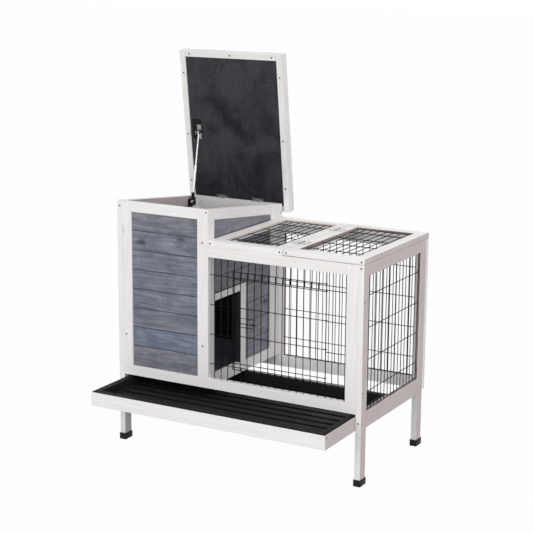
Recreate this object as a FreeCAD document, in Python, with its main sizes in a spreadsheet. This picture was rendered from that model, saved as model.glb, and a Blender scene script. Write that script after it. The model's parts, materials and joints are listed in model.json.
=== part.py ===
import FreeCAD, Part
import math
import os
import re

# A small-animal cage on legs: a timber box with a sloping roof lid on the left, a wire-walled
# run with a lift-up top on the right, and a pull-out tray under both.
# Working frame: X along the front from the left end, Y from the front to the back, Z up from
# the floor. At the end every sub-part is moved so that the origin lies on the floor under the
# middle of the whole cage. The roof lid stands open on its strut, and the tray is pulled out.

doc = FreeCAD.newDocument("Cage")
sheet = doc.addObject("Spreadsheet::Sheet", "Sizes")

SIZES = {
    # Overall sizes
    "width": 914,
    "depth": 498,
    "box_front_height": 836,
    "box_back_height": 780.5,
    "run_height": 735,
    "box_width": 354.5,
    # Boards: one thickness for all upright panels, then the widths of their faces
    "panel": 20,
    "leg_width": 37,
    "box_stile": 35.5,
    "post_stile": 41,
    "run_stile": 38.5,
    "front_rail_base": 236.4,
    "front_rail": 34.6,
    "box_top_rail": 35.5,
    "run_top_rail": 35.5,
    "side_rail_base": 187,
    "side_bottom_rail": 52,
    "side_top_rail": 37.5,
    "roof_rail": 35,
    "back_rail_base": 194,
    "back_bottom_rail": 40.6,
    "back_top_rail": 35.5,
    "back_stile": 35,
    "back_post": 19.5,
    "back_head_rail": 60,
    "back_batten": 20,
    # Planks that fill the box walls
    "plank": 66,
    "plank_thickness": 10,
    "plank_chamfer": 1.5,
    "plank_lead": 5.2,
    # Wall between the box and the run, with the animals' doorway
    "partition_front_stile": 20,
    "partition_rear_stile": 36.5,
    "corner_batten": 20,
    "partition_rail": 36,
    "doorway_width": 170,
    "doorway_height": 253,
    "lintel": 23,
    "jamb": 36,
    # Floor of the box
    "box_floor": 10,
    "box_floor_drop": 10,
    "floor_boards": 7,
    "bearer": 20,
    "bearer_height": 12,
    # Welded mesh, and the thin beads that hold it in its frames
    "wire_radius": 1.3,
    "weld": 0.3,
    "mesh_pitch": 25,
    "mesh_step": 100,
    "mesh_first": 19,
    "mesh_last": 6.5,
    "mesh_low": 49.3,
    "mesh_high": 59.7,
    "mesh_rows": 3,
    "side_mesh_low": 57.8,
    "side_mesh_high": 68.8,
    "back_mesh_low": 67.4,
    "back_mesh_high": 66,
    "top_mesh_end": 60,
    "bead": 2,
    "bead_depth": 5.5,
    # Two frames over the run, the right one a lid
    "top_panel": 19.5,
    "top_bar": 37,
    "seam": 630,
    "seam_gap": 2,
    "lid_rest": 1.5,
    "box_gap": 0.5,
    # Plastic caps on the legs
    "cap_wall": 2.5,
    "cap_floor": 4,
    "cap_height": 22.5,
    # Pull-out tray
    "tray_left_gap": 9.5,
    "tray_right_gap": 1,
    "tray_base": 181.5,
    "tray_height": 46,
    "tray_board": 20,
    "tray_stop": 3,
    "tray_out": 205,
    "pan_edge": 2,
    "pan_skin": 2.5,
    "pan_drop": 28,
    "pan_fit": 1.5,
    "groove_count": 10,
    "groove_width": 13,
    "groove_depth": 2.5,
    "groove_end": 23,
    "runner_width": 30,
    "runner_height": 5,
    "runner_gap": 0.3,
    # Roof lid
    "lid_gap": 6,
    "rim": 21,
    "rim_depth": 36,
    "rim_drop": 4,
    "rim_front_gap": 5,
    "rim_rear_gap": 7,
    "lid_board": 9,
    "roof_board": 6,
    "roof_inset": 2,
    "lid_turn": 76.3,
    # Leaf hinges
    "leaf": 1.5,
    "leaf_gap": 0.4,
    "folded_reach": 13,
    "flat_reach": 26,
    "hinge_length": 45,
    "knuckle": 2.2,
    "knuckle_gap": 0.3,
    "knuckle_lift": 0.2,
    "hinge_pin": 1,
    "running_gap": 0.05,
    "axis_back": 3,
    "axis_sink": 2.5,
    "box_hinge_left": 108,
    "box_hinge_right": 254,
    "run_hinge_front": 125,
    "run_hinge_rear": 382,
    # Strut that holds the roof lid
    "strut_line": 33.5,
    "anchor_back": 81.6,
    "anchor_drop": 20.8,
    "stud_reach": 239.1,
    "stud_drop": 11.4,
    "strut_eye": 6,
    "strut_eye_width": 8,
    "strut_pin": 3,
    "tube_radius": 5,
    "tube_length": 132,
    "tube_foot": 14,
    "rod_radius": 3,
    "rod_length": 135,
    "bracket_plate": 2,
    "bracket_length": 50,
    "bracket_height": 28,
    "bracket_lead": 9,
    "bracket_foot": 17,
    "pin_head": 4.5,
    "pin_head_height": 2,
    "stud": 4,
    "stud_gap": 0.3,
    "lug": 3,
    "foot_width": 16,
    "foot_length": 52,
    "foot_screw_reach": 20,
    "foot_screw_edge": 6.5,
    "lid_plate": 1.5,
    "lid_plate_side": 0.8,
    "lid_plate_width": 39,
    "lid_plate_length": 72,
    "lid_plate_lead": 8.6,
    # Wire door in the front of the run
    "door_left": 94,
    "door_hinge": 74.5,
    "door_lap": 1.5,
    "hinge_wire": 1.6,
    "door_edge": 1.8,
    "door_over": 20.9,
    "door_under": 6.2,
    "door_inner_top": 24.2,
    "door_inner_bottom": 21.4,
    "eye_turn": 270,
    # Sliding bolt on the door
    "bolt_level": 161,
    "bolt_lead": 3,
    "bolt_length": 92,
    "bolt_handle": 18,
    "guide_wire": 1.2,
    "loop_wire": 1,
    "loop_lead": 23,
    "loop_length": 56,
    "loop_drop": 13,
    "loop_rise": 16.5,
    # Screw heads
    "screw": 3.2,
    "screw_head": 0.8,
    "screw_inset": 21,
    "screw_top": 18,
    "screw_edge": 10.5,
    "screw_near": 7,
    "screw_row": 378,
    "side_screw": 7.4,
    "side_screw_low": 306.5,
    "side_screw_high": 598.5,
    "post_screw": 31,
    "rim_screw_end": 58,
    "rim_screw_middle": 229,
    "rim_screw_pitch": 166,
    "tray_screw_back": 7.5,
    "tray_screw_lift": 37.3,
}
for row, (alias, number) in enumerate(SIZES.items(), start=1):
    sheet.set(f"A{row}", alias)
    sheet.set(f"B{row}", str(number))
    sheet.setAlias(f"B{row}", alias)
ruler = doc.addObject("App::FeaturePython", "Ruler")
ruler.addProperty("App::PropertyFloat", "Reading")
doc.recompute()

X = FreeCAD.Vector(1, 0, 0)
Y = FreeCAD.Vector(0, 1, 0)
Z = FreeCAD.Vector(0, 0, 1)
ALONG = {
    "x": FreeCAD.Rotation(Y, 90),
    "y": FreeCAD.Rotation(X, -90),
    "z": FreeCAD.Rotation(),
}
# The numbers of a box's four edges along an axis
LONG_EDGES = {"x": (9, 10, 11, 12), "y": (2, 4, 6, 8)}
nodes = []


# Expressions and shapes
def bound(text):
    """Words of the sheet as references, such as width as Sizes.width."""
    return re.sub(r"\b[a-z][a-z_]*\b(?!\()", lambda word: "Sizes." + word.group(), text)


def value(text):
    """The number that an expression of the sheet gives."""
    ruler.setExpression("Reading", bound(text))
    ruler.recompute()
    return ruler.Reading


def length(span):
    """The distance from one expression to another."""
    return f"({span[1]}) - ({span[0]})"


def at(piece, x, y, z):
    """Bind the position of a piece to three expressions."""
    for axis, place in (("x", x), ("y", y), ("z", z)):
        piece.setExpression(f"Placement.Base.{axis}", bound(place))
    return piece


def board(x, y, z):
    """A square-cut board between two ends along each axis."""
    box = doc.addObject("Part::Box", "Board")
    for side, span in (("Length", x), ("Width", y), ("Height", z)):
        box.setExpression(side, bound(length(span)))
    return at(box, x[0], y[0], z[0])


def sloped_board(x, y, bottom, top):
    """A board whose lower and upper edges may follow the roof: each is a function of y."""
    wedge = doc.addObject("Part::Wedge", "SlopedBoard")
    edges = {
        "Xmin": x[0],
        "X2min": x[0],
        "Xmax": x[1],
        "X2max": x[1],
        "Ymin": y[0],
        "Ymax": y[1],
        "Zmin": bottom(y[0]),
        "Z2min": bottom(y[1]),
        "Zmax": top(y[0]),
        "Z2max": top(y[1]),
    }
    for edge, text in edges.items():
        wedge.setExpression(edge, bound(text))
    return wedge


def level(height):
    """An edge at one height."""
    return lambda y: height


def roof(drop="0"):
    """An edge parallel to the roof, a drop below the tops of the box walls."""
    fall = "(box_front_height - box_back_height) / depth"
    return lambda y: f"box_front_height - ({y}) * {fall} - ({drop})"


def rod(axis, x, y, z, radius, reach):
    """A round bar that starts at a point and runs along one axis."""
    bar = doc.addObject("Part::Cylinder", "Rod")
    bar.Placement = FreeCAD.Placement(FreeCAD.Vector(), ALONG[axis])
    bar.setExpression("Radius", bound(radius))
    bar.setExpression("Height", bound(reach))
    return at(bar, x, y, z)


def ring(axis, x, y, z, inner, wire):
    """A loop of round wire about an axis."""
    torus = doc.addObject("Part::Torus", "Ring")
    torus.Placement = FreeCAD.Placement(FreeCAD.Vector(), ALONG[axis])
    torus.setExpression("Radius1", bound(f"{inner} + {wire}"))
    torus.setExpression("Radius2", bound(wire))
    return at(torus, x, y, z)


def fuse(pieces):
    """Join pieces into one solid."""
    joined = doc.addObject("Part::MultiFuse", "Joined")
    joined.Shapes = pieces
    return joined


def cut(piece, tool):
    """Take a tool away from a piece."""
    trimmed = doc.addObject("Part::Cut", "Trimmed")
    trimmed.Base = piece
    trimmed.Tool = tool
    return trimmed


def placed(pieces, frame):
    """Pieces drawn in a frame of their own, put where that frame lies."""
    group = doc.addObject("Part::Compound", "Placed")
    group.Links = pieces
    group.Placement = frame
    return group


def sub_part(label, pieces, frame=FreeCAD.Placement()):
    """Name a sub-part: its pieces stay separate solids and share one placement."""
    node = placed(pieces, frame)
    node.Label = label
    nodes.append(node)


def spread(low, high, pitch="mesh_pitch"):
    """Evenly spaced places between two ends, about a pitch apart, without the ends."""
    gaps = max(1, round(value(f"({length((low, high))}) / {pitch}")))
    return [f"{low} + ({length((low, high))}) * {gap} / {gaps}" for gap in range(1, gaps)]


def levels(low, high):
    """Places from one end to the other, both ends too, with the mesh's rows between them."""
    return [f"{low} + ({length((low, high))}) * {row} / mesh_rows" for row in range(rows + 1)]


def bordered(places, low, high):
    """Places with one more at each end, for a wire that lies against the frame."""
    return [f"{low} + wire_radius"] + places + [f"{high} - wire_radius"]


def wires(axis, span, other, places, plane, depth, radius="wire_radius"):
    """Parallel wires along one axis, at places along another, all in one plane."""
    pieces = []
    for place in places:
        start = {axis: span[0], other: place, plane: depth}
        bar = rod(axis, start["x"], start["y"], start["z"], radius, length(span))
        pieces.append(bar)
    return pieces


def beads(spans, across, up):
    """Four thin strips around an opening, given its spans: two along each of its sides."""
    left, right = spans[across]
    low, high = spans[up]
    between = (f"{low} + bead", f"{high} - bead")
    return [
        board(**{**spans, up: (low, between[0])}),
        board(**{**spans, up: (between[1], high)}),
        board(**{**spans, up: between, across: (left, f"{left} + bead")}),
        board(**{**spans, up: between, across: (f"{right} - bead", right)}),
    ]


def eased(x, y, z, axis):
    """A board that runs along one axis and has its long edges chamfered."""
    chamfer = value("plank_chamfer")
    plank = doc.addObject("Part::Chamfer", "Plank")
    plank.Base = board(x, y, z)
    plank.Edges = [(edge, chamfer, chamfer) for edge in LONG_EDGES[axis]]
    return plank


def planks(axis, along, face, bottom, top, base, roofed=False):
    """Planks edge to edge upwards, with their long edges chamfered. Their joints lie whole
    plank widths above a base, and a sloping rail may trim them."""
    highest = f"({top(along[0])})" if roofed else top
    lowest = value(top(along[1])) if roofed else value(top)
    first = math.floor(value(f"({bottom} - ({base})) / plank") + 0.1)
    last = math.ceil(value(f"({highest} - ({base})) / plank") - 0.05)
    pieces = []
    for course in range(first, last):
        low = f"{base} + {course} * plank" if course > first else bottom
        high = f"{base} + {course + 1} * plank" if roofed or course + 1 < last else top
        x, y = (along, face) if axis == "x" else (face, along)
        plank = eased(x, y, (low, high), axis)
        if roofed and value(high) > lowest:
            over = sloped_board(x, y, top, level("box_front_height + plank"))
            plank = cut(plank, over)
        pieces.append(plank)
    return pieces


def leaf_hinge(label, frame, centre, reach, low, sleeve, side=-1):
    """One half of a leaf hinge whose axis is the X axis of its frame. The half with the
    sleeve has the middle knuckle, and the other half has the end knuckles and the pin."""
    half = "hinge_length / 2"
    third = "hinge_length / 6 - knuckle_gap / 2"
    ends = "hinge_length / 6 + knuckle_gap / 2"
    if sleeve:
        spans = [(f"{centre} - ({third})", f"{centre} + {third}")]
    else:
        spans = [
            (f"{centre} - {half}", f"{centre} - ({ends})"),
            (f"{centre} + {ends}", f"{centre} + {half}"),
        ]
    clear = "knuckle + knuckle_gap"
    thickness = (low, f"{low} + leaf")
    outer = (clear, reach) if side > 0 else (f"0 - {reach}", f"0 - ({clear})")
    inner = ("0", clear) if side > 0 else (f"0 - ({clear})", "0")
    pieces = [board((f"{centre} - {half}", f"{centre} + {half}"), outer, thickness)]
    for span in spans:
        pieces.append(board(span, inner, thickness))
        pieces.append(rod("x", span[0], "0", "0", "knuckle", length(span)))
    pin = rod("x", f"{centre} - {half}", "0", "0", "hinge_pin", "hinge_length")
    if sleeve:
        pin.setExpression("Radius", bound("hinge_pin + running_gap"))
        sub_part(label, [cut(fuse(pieces), pin)], frame)
    else:
        sub_part(label, [fuse(pieces + [pin])], frame)


# Positions that several sub-parts share
RIGHT = "width - panel"
BACK = "depth - panel"
BOX_IN = "box_width - panel"
LEG_BACK = "depth - panel - leg_width"
SILL = "front_rail_base + front_rail"
SIDE_SILL = "side_rail_base + side_bottom_rail"
BACK_SILL = "back_rail_base + back_bottom_rail"
WALL_TOP = "run_height - top_panel"
MID = "panel / 2"
CROSS = "(2 * wire_radius - weld)"
PLANK_FACE = ("panel / 2 - plank_thickness / 2", "panel / 2 + plank_thickness / 2")
rows = round(value("mesh_rows"))

# Left side panel: two legs, a low rail and a roof rail around planks
LEFT = ("0", "panel")
sub_part("left_front_leg", [sloped_board(LEFT, ("0", "leg_width"), level("cap_floor"), roof())])
sub_part("left_rear_leg", [sloped_board(LEFT, (LEG_BACK, BACK), level("cap_floor"), roof())])
between_legs = ("leg_width", LEG_BACK)
left_rails = [
    board(LEFT, between_legs, ("side_rail_base", SIDE_SILL)),
    sloped_board(LEFT, between_legs, roof("roof_rail"), roof()),
]
sub_part("left_rails", left_rails)
left_planks = planks("y", between_legs, PLANK_FACE, SIDE_SILL, roof("roof_rail"), SIDE_SILL, True)
sub_part("left_planks", left_planks)

# Right side panel: two legs and two rails around mesh
side = (RIGHT, "width")
sub_part("right_front_leg", [board(side, ("0", "leg_width"), ("cap_floor", WALL_TOP))])
sub_part("right_rear_leg", [board(side, (LEG_BACK, BACK), ("cap_floor", WALL_TOP))])
SIDE_HEAD = "run_height - top_panel - side_top_rail"
side_bay = (SIDE_SILL, SIDE_HEAD)
right_rails = [
    board(side, between_legs, ("side_rail_base", SIDE_SILL)),
    board(side, between_legs, (SIDE_HEAD, WALL_TOP)),
]
sub_part("right_rails", right_rails)
side_uprights = bordered(spread(*between_legs), *between_legs)
side_levels = levels(f"{SIDE_SILL} + side_mesh_low", f"{SIDE_HEAD} - side_mesh_high")
side_levels = bordered(side_levels, *side_bay)
right_mesh = wires("z", side_bay, "y", side_uprights, "x", f"{RIGHT} + {MID}")
right_mesh += wires("y", between_legs, "z", side_levels, "x", f"{RIGHT} + {MID} - {CROSS}")
sub_part("right_mesh", [fuse(right_mesh)])

# Plastic caps that the legs stand in
for label, x, y in (
    ("front_left_cap", "0", "0"),
    ("front_right_cap", RIGHT, "0"),
    ("rear_left_cap", "0", LEG_BACK),
    ("rear_right_cap", RIGHT, LEG_BACK),
):
    outside = board(
        (f"{x} - cap_wall", f"{x} + panel + cap_wall"),
        (f"{y} - cap_wall", f"{y} + leg_width + cap_wall"),
        ("0", "cap_height"),
    )
    socket = board((x, f"{x} + panel"), (y, f"{y} + leg_width"), ("cap_floor", "cap_height"))
    sub_part(label, [cut(outside, socket)])

# Front: one low rail, the box front and the run front
FRONT = ("0", "panel")
sub_part("front_bottom_rail", [board(("panel", RIGHT), FRONT, ("front_rail_base", SILL))])
box_bay = ("panel + box_stile", "box_width - post_stile")
BOX_HEAD = "box_front_height - box_top_rail"
box_front_frame = [
    sloped_board(("panel", box_bay[0]), FRONT, level(SILL), roof()),
    sloped_board((box_bay[1], "box_width"), FRONT, level(SILL), roof()),
    sloped_board(box_bay, FRONT, level(BOX_HEAD), roof()),
]
sub_part("box_front_frame", box_front_frame)
front_planks = planks("x", box_bay, PLANK_FACE, SILL, BOX_HEAD, f"{SILL} + plank_lead")
sub_part("box_front_planks", front_planks)
RUN_HEAD = "run_height - top_panel - run_top_rail"
RUN_END = "width - panel - run_stile"
run_front_frame = [
    board(("box_width", RUN_END), FRONT, (RUN_HEAD, WALL_TOP)),
    board((RUN_END, RIGHT), FRONT, (SILL, WALL_TOP)),
]
sub_part("run_front_frame", run_front_frame)

# Front mesh, in four parts around the door opening; its right-hand edge wire is the hinge
DOOR_LEFT = "box_width + door_left"
HINGE_X = "width - panel - run_stile - door_hinge"
HINGE_Y = "panel / 2 + wire_radius - hinge_wire"
CROSS_Y = f"{MID} + {CROSS}"
MESH_LOW = "front_rail_base + front_rail + mesh_low"
MESH_HIGH = f"{RUN_HEAD} - mesh_high"
crossings = levels(MESH_LOW, MESH_HIGH)
run_bay = ("box_width", RUN_END)
full = (SILL, RUN_HEAD)
first = "box_width + mesh_first"
last = "width - panel - run_stile - mesh_last"
left_places = [first] + spread(first, DOOR_LEFT) + [DOOR_LEFT]
right_places = spread(HINGE_X, last) + [last]
door_places = spread(DOOR_LEFT, HINGE_X)
left_of_door = wires("z", full, "x", left_places, "y", MID)
left_of_door += wires(
    "x", ("box_width", f"{DOOR_LEFT} + wire_radius"), "z", crossings[1:-1], "y", CROSS_Y
)
sub_part("run_mesh_left", [fuse(left_of_door)])
right_of_door = wires("z", full, "x", right_places, "y", MID)
right_of_door += wires("z", full, "x", [HINGE_X], "y", HINGE_Y, "hinge_wire")
right_of_door += wires(
    "x", (f"{HINGE_X} - hinge_wire", RUN_END), "z", crossings[1:-1], "y", CROSS_Y
)
sub_part("run_mesh_right", [fuse(right_of_door)])
over_door = wires("z", (crossings[-1], RUN_HEAD), "x", door_places, "y", MID)
over_door += wires("x", run_bay, "z", crossings[-1:], "y", CROSS_Y)
sub_part("run_mesh_over_door", [fuse(over_door)])
under_door = wires("z", (SILL, crossings[0]), "x", door_places, "y", MID)
under_door += wires("x", run_bay, "z", crossings[:1], "y", CROSS_Y)
sub_part("run_mesh_under_door", [fuse(under_door)])

# Partition: a framed plank wall with a doorway
WALL = (BOX_IN, "box_width")
PARTITION_SILL = "front_rail_base + partition_rail"
DOORWAY_SIDE = "panel + partition_front_stile"
DOORWAY_END = "panel + partition_front_stile + doorway_width"
REAR_STILE = "depth - panel - corner_batten - partition_rear_stile"
BATTEN = "depth - panel - corner_batten"
DOORWAY_TOP = f"{PARTITION_SILL} + doorway_height"
partition_frame = [
    board(WALL, ("panel", BACK), ("front_rail_base", PARTITION_SILL)),
    sloped_board(WALL, ("panel", DOORWAY_SIDE), level(PARTITION_SILL), roof()),
    sloped_board(WALL, (REAR_STILE, BATTEN), level(PARTITION_SILL), roof()),
    sloped_board(WALL, (BATTEN, BACK), level(PARTITION_SILL), roof()),
    sloped_board(WALL, (DOORWAY_SIDE, REAR_STILE), roof("roof_rail"), roof()),
]
sub_part("partition_frame", partition_frame)
JAMB_END = f"{DOORWAY_END} + jamb"
doorway_frame = [
    board(WALL, (DOORWAY_END, JAMB_END), (PARTITION_SILL, f"{DOORWAY_TOP} + lintel")),
    board(WALL, (DOORWAY_SIDE, DOORWAY_END), (DOORWAY_TOP, f"{DOORWAY_TOP} + lintel")),
]
sub_part("doorway_frame", doorway_frame)
wall_face = tuple(f"{BOX_IN} + {edge}" for edge in PLANK_FACE)
under_roof = roof("roof_rail")
partition_planks = planks(
    "y", (JAMB_END, REAR_STILE), wall_face, PARTITION_SILL, under_roof, PARTITION_SILL, True
)
partition_planks += planks(
    "y",
    (DOORWAY_SIDE, JAMB_END),
    wall_face,
    f"{DOORWAY_TOP} + lintel",
    under_roof,
    PARTITION_SILL,
    True,
)
sub_part("partition_planks", partition_planks)

# Floor of the box: boards along X, side by side on two bearers
FLOOR_TOP = f"{PARTITION_SILL} - box_floor_drop"
floor_z = (f"{FLOOR_TOP} - box_floor", FLOOR_TOP)
bearer_z = (f"{floor_z[0]} - bearer_height", floor_z[0])
floor_x = ("panel", BOX_IN)
box_floor = [
    board(floor_x, ("panel", "panel + bearer"), bearer_z),
    board(floor_x, (f"{BACK} - bearer", BACK), bearer_z),
]
floor_step = f"({length(('panel', BACK))}) / floor_boards"
for course in range(round(value("floor_boards"))):
    ends = (f"panel + {course} * {floor_step}", f"panel + {course + 1} * {floor_step}")
    box_floor.append(eased(floor_x, ends, floor_z, "x"))
sub_part("box_floor", box_floor)

# Roof plane, lid axis and strut, as frames in space
rise = value("box_front_height - box_back_height")
slope = math.degrees(math.atan2(rise, value("depth")))
axis_drop = FreeCAD.Vector(0, value("axis_back"), -value("axis_sink"))
roof_turn = FreeCAD.Rotation(X, -slope)
roof_edge = FreeCAD.Vector(0, value("depth"), value("box_back_height"))
axis_point = roof_edge + roof_turn.multVec(axis_drop)
wall_hinge = FreeCAD.Placement(axis_point, roof_turn)
lid_frame = FreeCAD.Placement(axis_point, FreeCAD.Rotation(X, -slope - value("lid_turn")))
ANCHOR_Y = "depth - anchor_back"
ANCHOR_Z = roof("anchor_drop")(ANCHOR_Y)
anchor = FreeCAD.Vector(value("strut_line"), value(ANCHOR_Y), value(ANCHOR_Z))
stud_place = FreeCAD.Vector(value("strut_line"), -value("stud_reach"), value("axis_sink - stud_drop"))
stud_point = lid_frame.multVec(stud_place)
strut_run = stud_point - anchor
strut_turn = FreeCAD.Rotation(Z, strut_run)

# Back: a low rail, a plank wall behind the box and mesh behind the run
REAR = (BACK, "depth")
back_bay = ("back_stile", "box_width - back_stile")
BACK_HEAD = "box_back_height - back_head_rail"
BACK_JOINT = "box_back_height - back_batten"
RUN_POST = "box_width + back_post"
MESH_END = "width - back_stile"
BACK_RUN_HEAD = "run_height - top_panel - back_top_rail"
hinge_places = ("box_hinge_left", "box_hinge_right")
HINGE_SEAT = "leaf_gap + 2 * leaf"
pockets = []
for place in hinge_places:
    ends = (f"{place} - hinge_length / 2 - knuckle_gap", f"{place} + hinge_length / 2 + knuckle_gap")
    depth_in = ("0 - axis_back - 2 * panel", "axis_back")
    pockets.append(board(ends, depth_in, (f"axis_sink - ({HINGE_SEAT})", "axis_sink + leaf")))
batten = sloped_board(back_bay, REAR, level(BACK_JOINT), roof())
back_frame = [
    board(("0", "width"), REAR, ("back_rail_base", BACK_SILL)),
    sloped_board(("0", back_bay[0]), REAR, level(BACK_SILL), roof()),
    sloped_board((back_bay[1], "box_width"), REAR, level(BACK_SILL), roof()),
    cut(batten, placed(pockets, wall_hinge)),
    board(back_bay, REAR, (BACK_HEAD, BACK_JOINT)),
    board(("box_width", RUN_POST), REAR, (BACK_SILL, WALL_TOP)),
    board((MESH_END, "width"), REAR, (BACK_SILL, WALL_TOP)),
    board((RUN_POST, MESH_END), REAR, (BACK_RUN_HEAD, WALL_TOP)),
]
sub_part("back_frame", back_frame)
back_face = tuple(f"{BACK} + {edge}" for edge in PLANK_FACE)
sub_part("back_planks", planks("x", back_bay, back_face, BACK_SILL, BACK_HEAD, BACK_SILL))
mesh_bay = (RUN_POST, MESH_END)
mesh_rise = (BACK_SILL, BACK_RUN_HEAD)
back_uprights = bordered(spread(*mesh_bay), *mesh_bay)
back_levels = levels(f"{BACK_SILL} + back_mesh_low", f"{BACK_RUN_HEAD} - back_mesh_high")
back_levels = bordered(back_levels, *mesh_rise)
back_mesh = wires("z", mesh_rise, "x", back_uprights, "y", f"{BACK} + {MID}")
back_mesh += wires("x", mesh_bay, "z", back_levels, "y", f"{BACK} + {MID} - {CROSS}")
sub_part("back_mesh", [fuse(back_mesh)])


# Frames over the run
def top_frame(name, left, right, lift):
    """A flat frame of four bars around mesh, lifted a little off the walls. Gives its beads."""
    thickness = (f"{WALL_TOP} + {lift}", "run_height")
    rear = "depth - top_bar"
    sides = ("top_bar", rear)
    bay = (f"{left} + top_bar", f"{right} - top_bar")
    bars = [
        board((left, right), ("0", "top_bar"), thickness),
        board((left, right), (rear, "depth"), thickness),
        board((left, bay[0]), sides, thickness),
        board((bay[1], right), sides, thickness),
    ]
    sub_part(name + "_frame", bars)
    middle = "run_height - top_panel / 2"
    mesh = wires("y", sides, "x", bordered(spread(*bay), *bay), "z", middle)
    crosswise = levels("top_bar + top_mesh_end", f"{rear} - top_mesh_end")
    mesh += wires("x", bay, "y", bordered(crosswise, *sides), "z", f"{middle} + {CROSS}")
    sub_part(name + "_mesh", [fuse(mesh)])
    bead_base = f"{middle} + {CROSS} + wire_radius"
    return beads({"x": bay, "y": sides, "z": (bead_base, f"{bead_base} + bead_depth")}, "x", "y")


SEAM_LEFT = "seam - seam_gap / 2"
SEAM_RIGHT = "seam + seam_gap / 2"
top_beads = top_frame("run_top", "box_width + box_gap", SEAM_LEFT, "0")
lid_beads = top_frame("run_lid", SEAM_RIGHT, "width", "lid_rest")

# Thin beads on the outer side of the mesh, around each of its openings
side_bead = f"{RIGHT} + {MID} + wire_radius"
back_bead = f"{BACK} + {MID} + wire_radius"
side_spans = {"x": (side_bead, f"{side_bead} + bead_depth"), "y": between_legs, "z": side_bay}
back_spans = {"x": mesh_bay, "y": (back_bead, f"{back_bead} + bead_depth"), "z": mesh_rise}
mesh_beads = beads(side_spans, "y", "z") + beads(back_spans, "x", "z") + top_beads
sub_part("mesh_beads", mesh_beads)
sub_part("run_lid_beads", lid_beads)

# Flat hinges over the seam between the two frames
AXIS_Z = "run_height + knuckle + knuckle_lift"
run_axis = FreeCAD.Vector(value("seam"), 0, value(AXIS_Z))
run_hinge_frame = FreeCAD.Placement(run_axis, FreeCAD.Rotation(Z, 90))
LOW_LEAF = "0 - knuckle - knuckle_lift"
for name, place in (("front", "run_hinge_front"), ("rear", "run_hinge_rear")):
    leaf_hinge(f"run_hinge_{name}_fixed", run_hinge_frame, place, "flat_reach", LOW_LEAF, False, 1)
    leaf_hinge(f"run_hinge_{name}_moving", run_hinge_frame, place, "flat_reach", LOW_LEAF, True)

# Folding hinges of the roof lid: one leaf let into the wall, the other under the lid board
for name, place in zip(("left", "right"), hinge_places):
    wall_leaf = f"axis_sink - ({HINGE_SEAT})"
    leaf_hinge(f"box_hinge_{name}_wall", wall_hinge, place, "folded_reach", wall_leaf, False)
    lid_leaf = "axis_sink - leaf"
    leaf_hinge(f"box_hinge_{name}_lid", lid_frame, place, "folded_reach", lid_leaf, True)

# Roof lid, drawn shut in a frame whose X axis is the hinge axis, with -Y towards its free edge
LID_IN = "sqrt(depth ^ 2 + (box_front_height - box_back_height) ^ 2) + axis_back + rim_front_gap"
lid_x = ("0 - lid_gap", "box_width + lid_gap")
lid_y = (f"0 - ({LID_IN})", "rim_rear_gap")
rim_y = (f"0 - ({LID_IN}) - rim", "rim_rear_gap + rim")
rim_z = ("axis_sink - rim_drop", "axis_sink - rim_drop + rim_depth")
box_lid_frame = [
    board(("0 - lid_gap - rim", lid_x[0]), rim_y, rim_z),
    board((lid_x[1], "box_width + lid_gap + rim"), rim_y, rim_z),
    board(lid_x, (rim_y[0], lid_y[0]), rim_z),
    board(lid_x, (lid_y[1], rim_y[1]), ("axis_sink", rim_z[1])),
]
sub_part("box_lid_frame", box_lid_frame, lid_frame)
board_top = "axis_sink + lid_board"
plate_x = ("lid_plate_side", "lid_plate_side + lid_plate_width")
PLATE_MIDDLE = "0 - stud_reach - lid_plate_lead"
plate_y = (f"{PLATE_MIDDLE} - lid_plate_length / 2", f"{PLATE_MIDDLE} + lid_plate_length / 2")
plate_z = ("axis_sink", "axis_sink + lid_plate")
lid_board = board(lid_x, lid_y, ("axis_sink", board_top))
lid_board = cut(lid_board, board(plate_x, plate_y, plate_z))
sub_part("box_lid_board", [lid_board], lid_frame)
ROOF_TOP = "axis_sink - rim_drop + rim_depth - roof_inset"
roof_panel = board(lid_x, lid_y, (f"{ROOF_TOP} - roof_board", ROOF_TOP))
sub_part("box_lid_roof", [roof_panel], lid_frame)

# Strut: a bracket on the left wall, a tube, a rod, and a studded bracket on a plate in the lid
sub_part("strut_lid_plate", [board(plate_x, plate_y, plate_z)], lid_frame)
EYE_LEFT = "strut_line - strut_eye_width / 2"
EYE_RIGHT = "strut_line + strut_eye_width / 2"
bracket_y = (f"{ANCHOR_Y} - bracket_lead", f"{ANCHOR_Y} - bracket_lead + bracket_length")
bracket_z = (f"{ANCHOR_Z} - bracket_foot", f"{ANCHOR_Z} - bracket_foot + bracket_height")
PLATE_FACE = "panel + bracket_plate"
pin_span = (PLATE_FACE, f"{EYE_RIGHT} + knuckle_gap")
wall_bracket = [
    board(("panel", PLATE_FACE), bracket_y, bracket_z),
    rod("x", PLATE_FACE, ANCHOR_Y, ANCHOR_Z, "strut_pin", length(pin_span)),
    rod("x", pin_span[1], ANCHOR_Y, ANCHOR_Z, "pin_head", "pin_head_height"),
]
sub_part("strut_wall_bracket", [fuse(wall_bracket)])

eye_start = "0 - strut_eye_width / 2"
strut_frame = FreeCAD.Placement(anchor, strut_turn)
EYE_BORE = "strut_pin + running_gap"
tube = fuse(
    [
        rod("x", eye_start, "0", "0", "strut_eye", "strut_eye_width"),
        rod("z", "0", "0", "0", "rod_radius", "strut_eye"),
        rod("z", "0", "0", "strut_eye", "tube_radius", "tube_length - strut_eye"),
    ]
)
across = rod("x", eye_start, "0", "0", EYE_BORE, "strut_eye_width")
bore = rod("z", "0", "0", "tube_foot", "rod_radius + running_gap", "tube_length - tube_foot")
sub_part("strut_tube", [cut(cut(tube, across), bore)], strut_frame)

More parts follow.
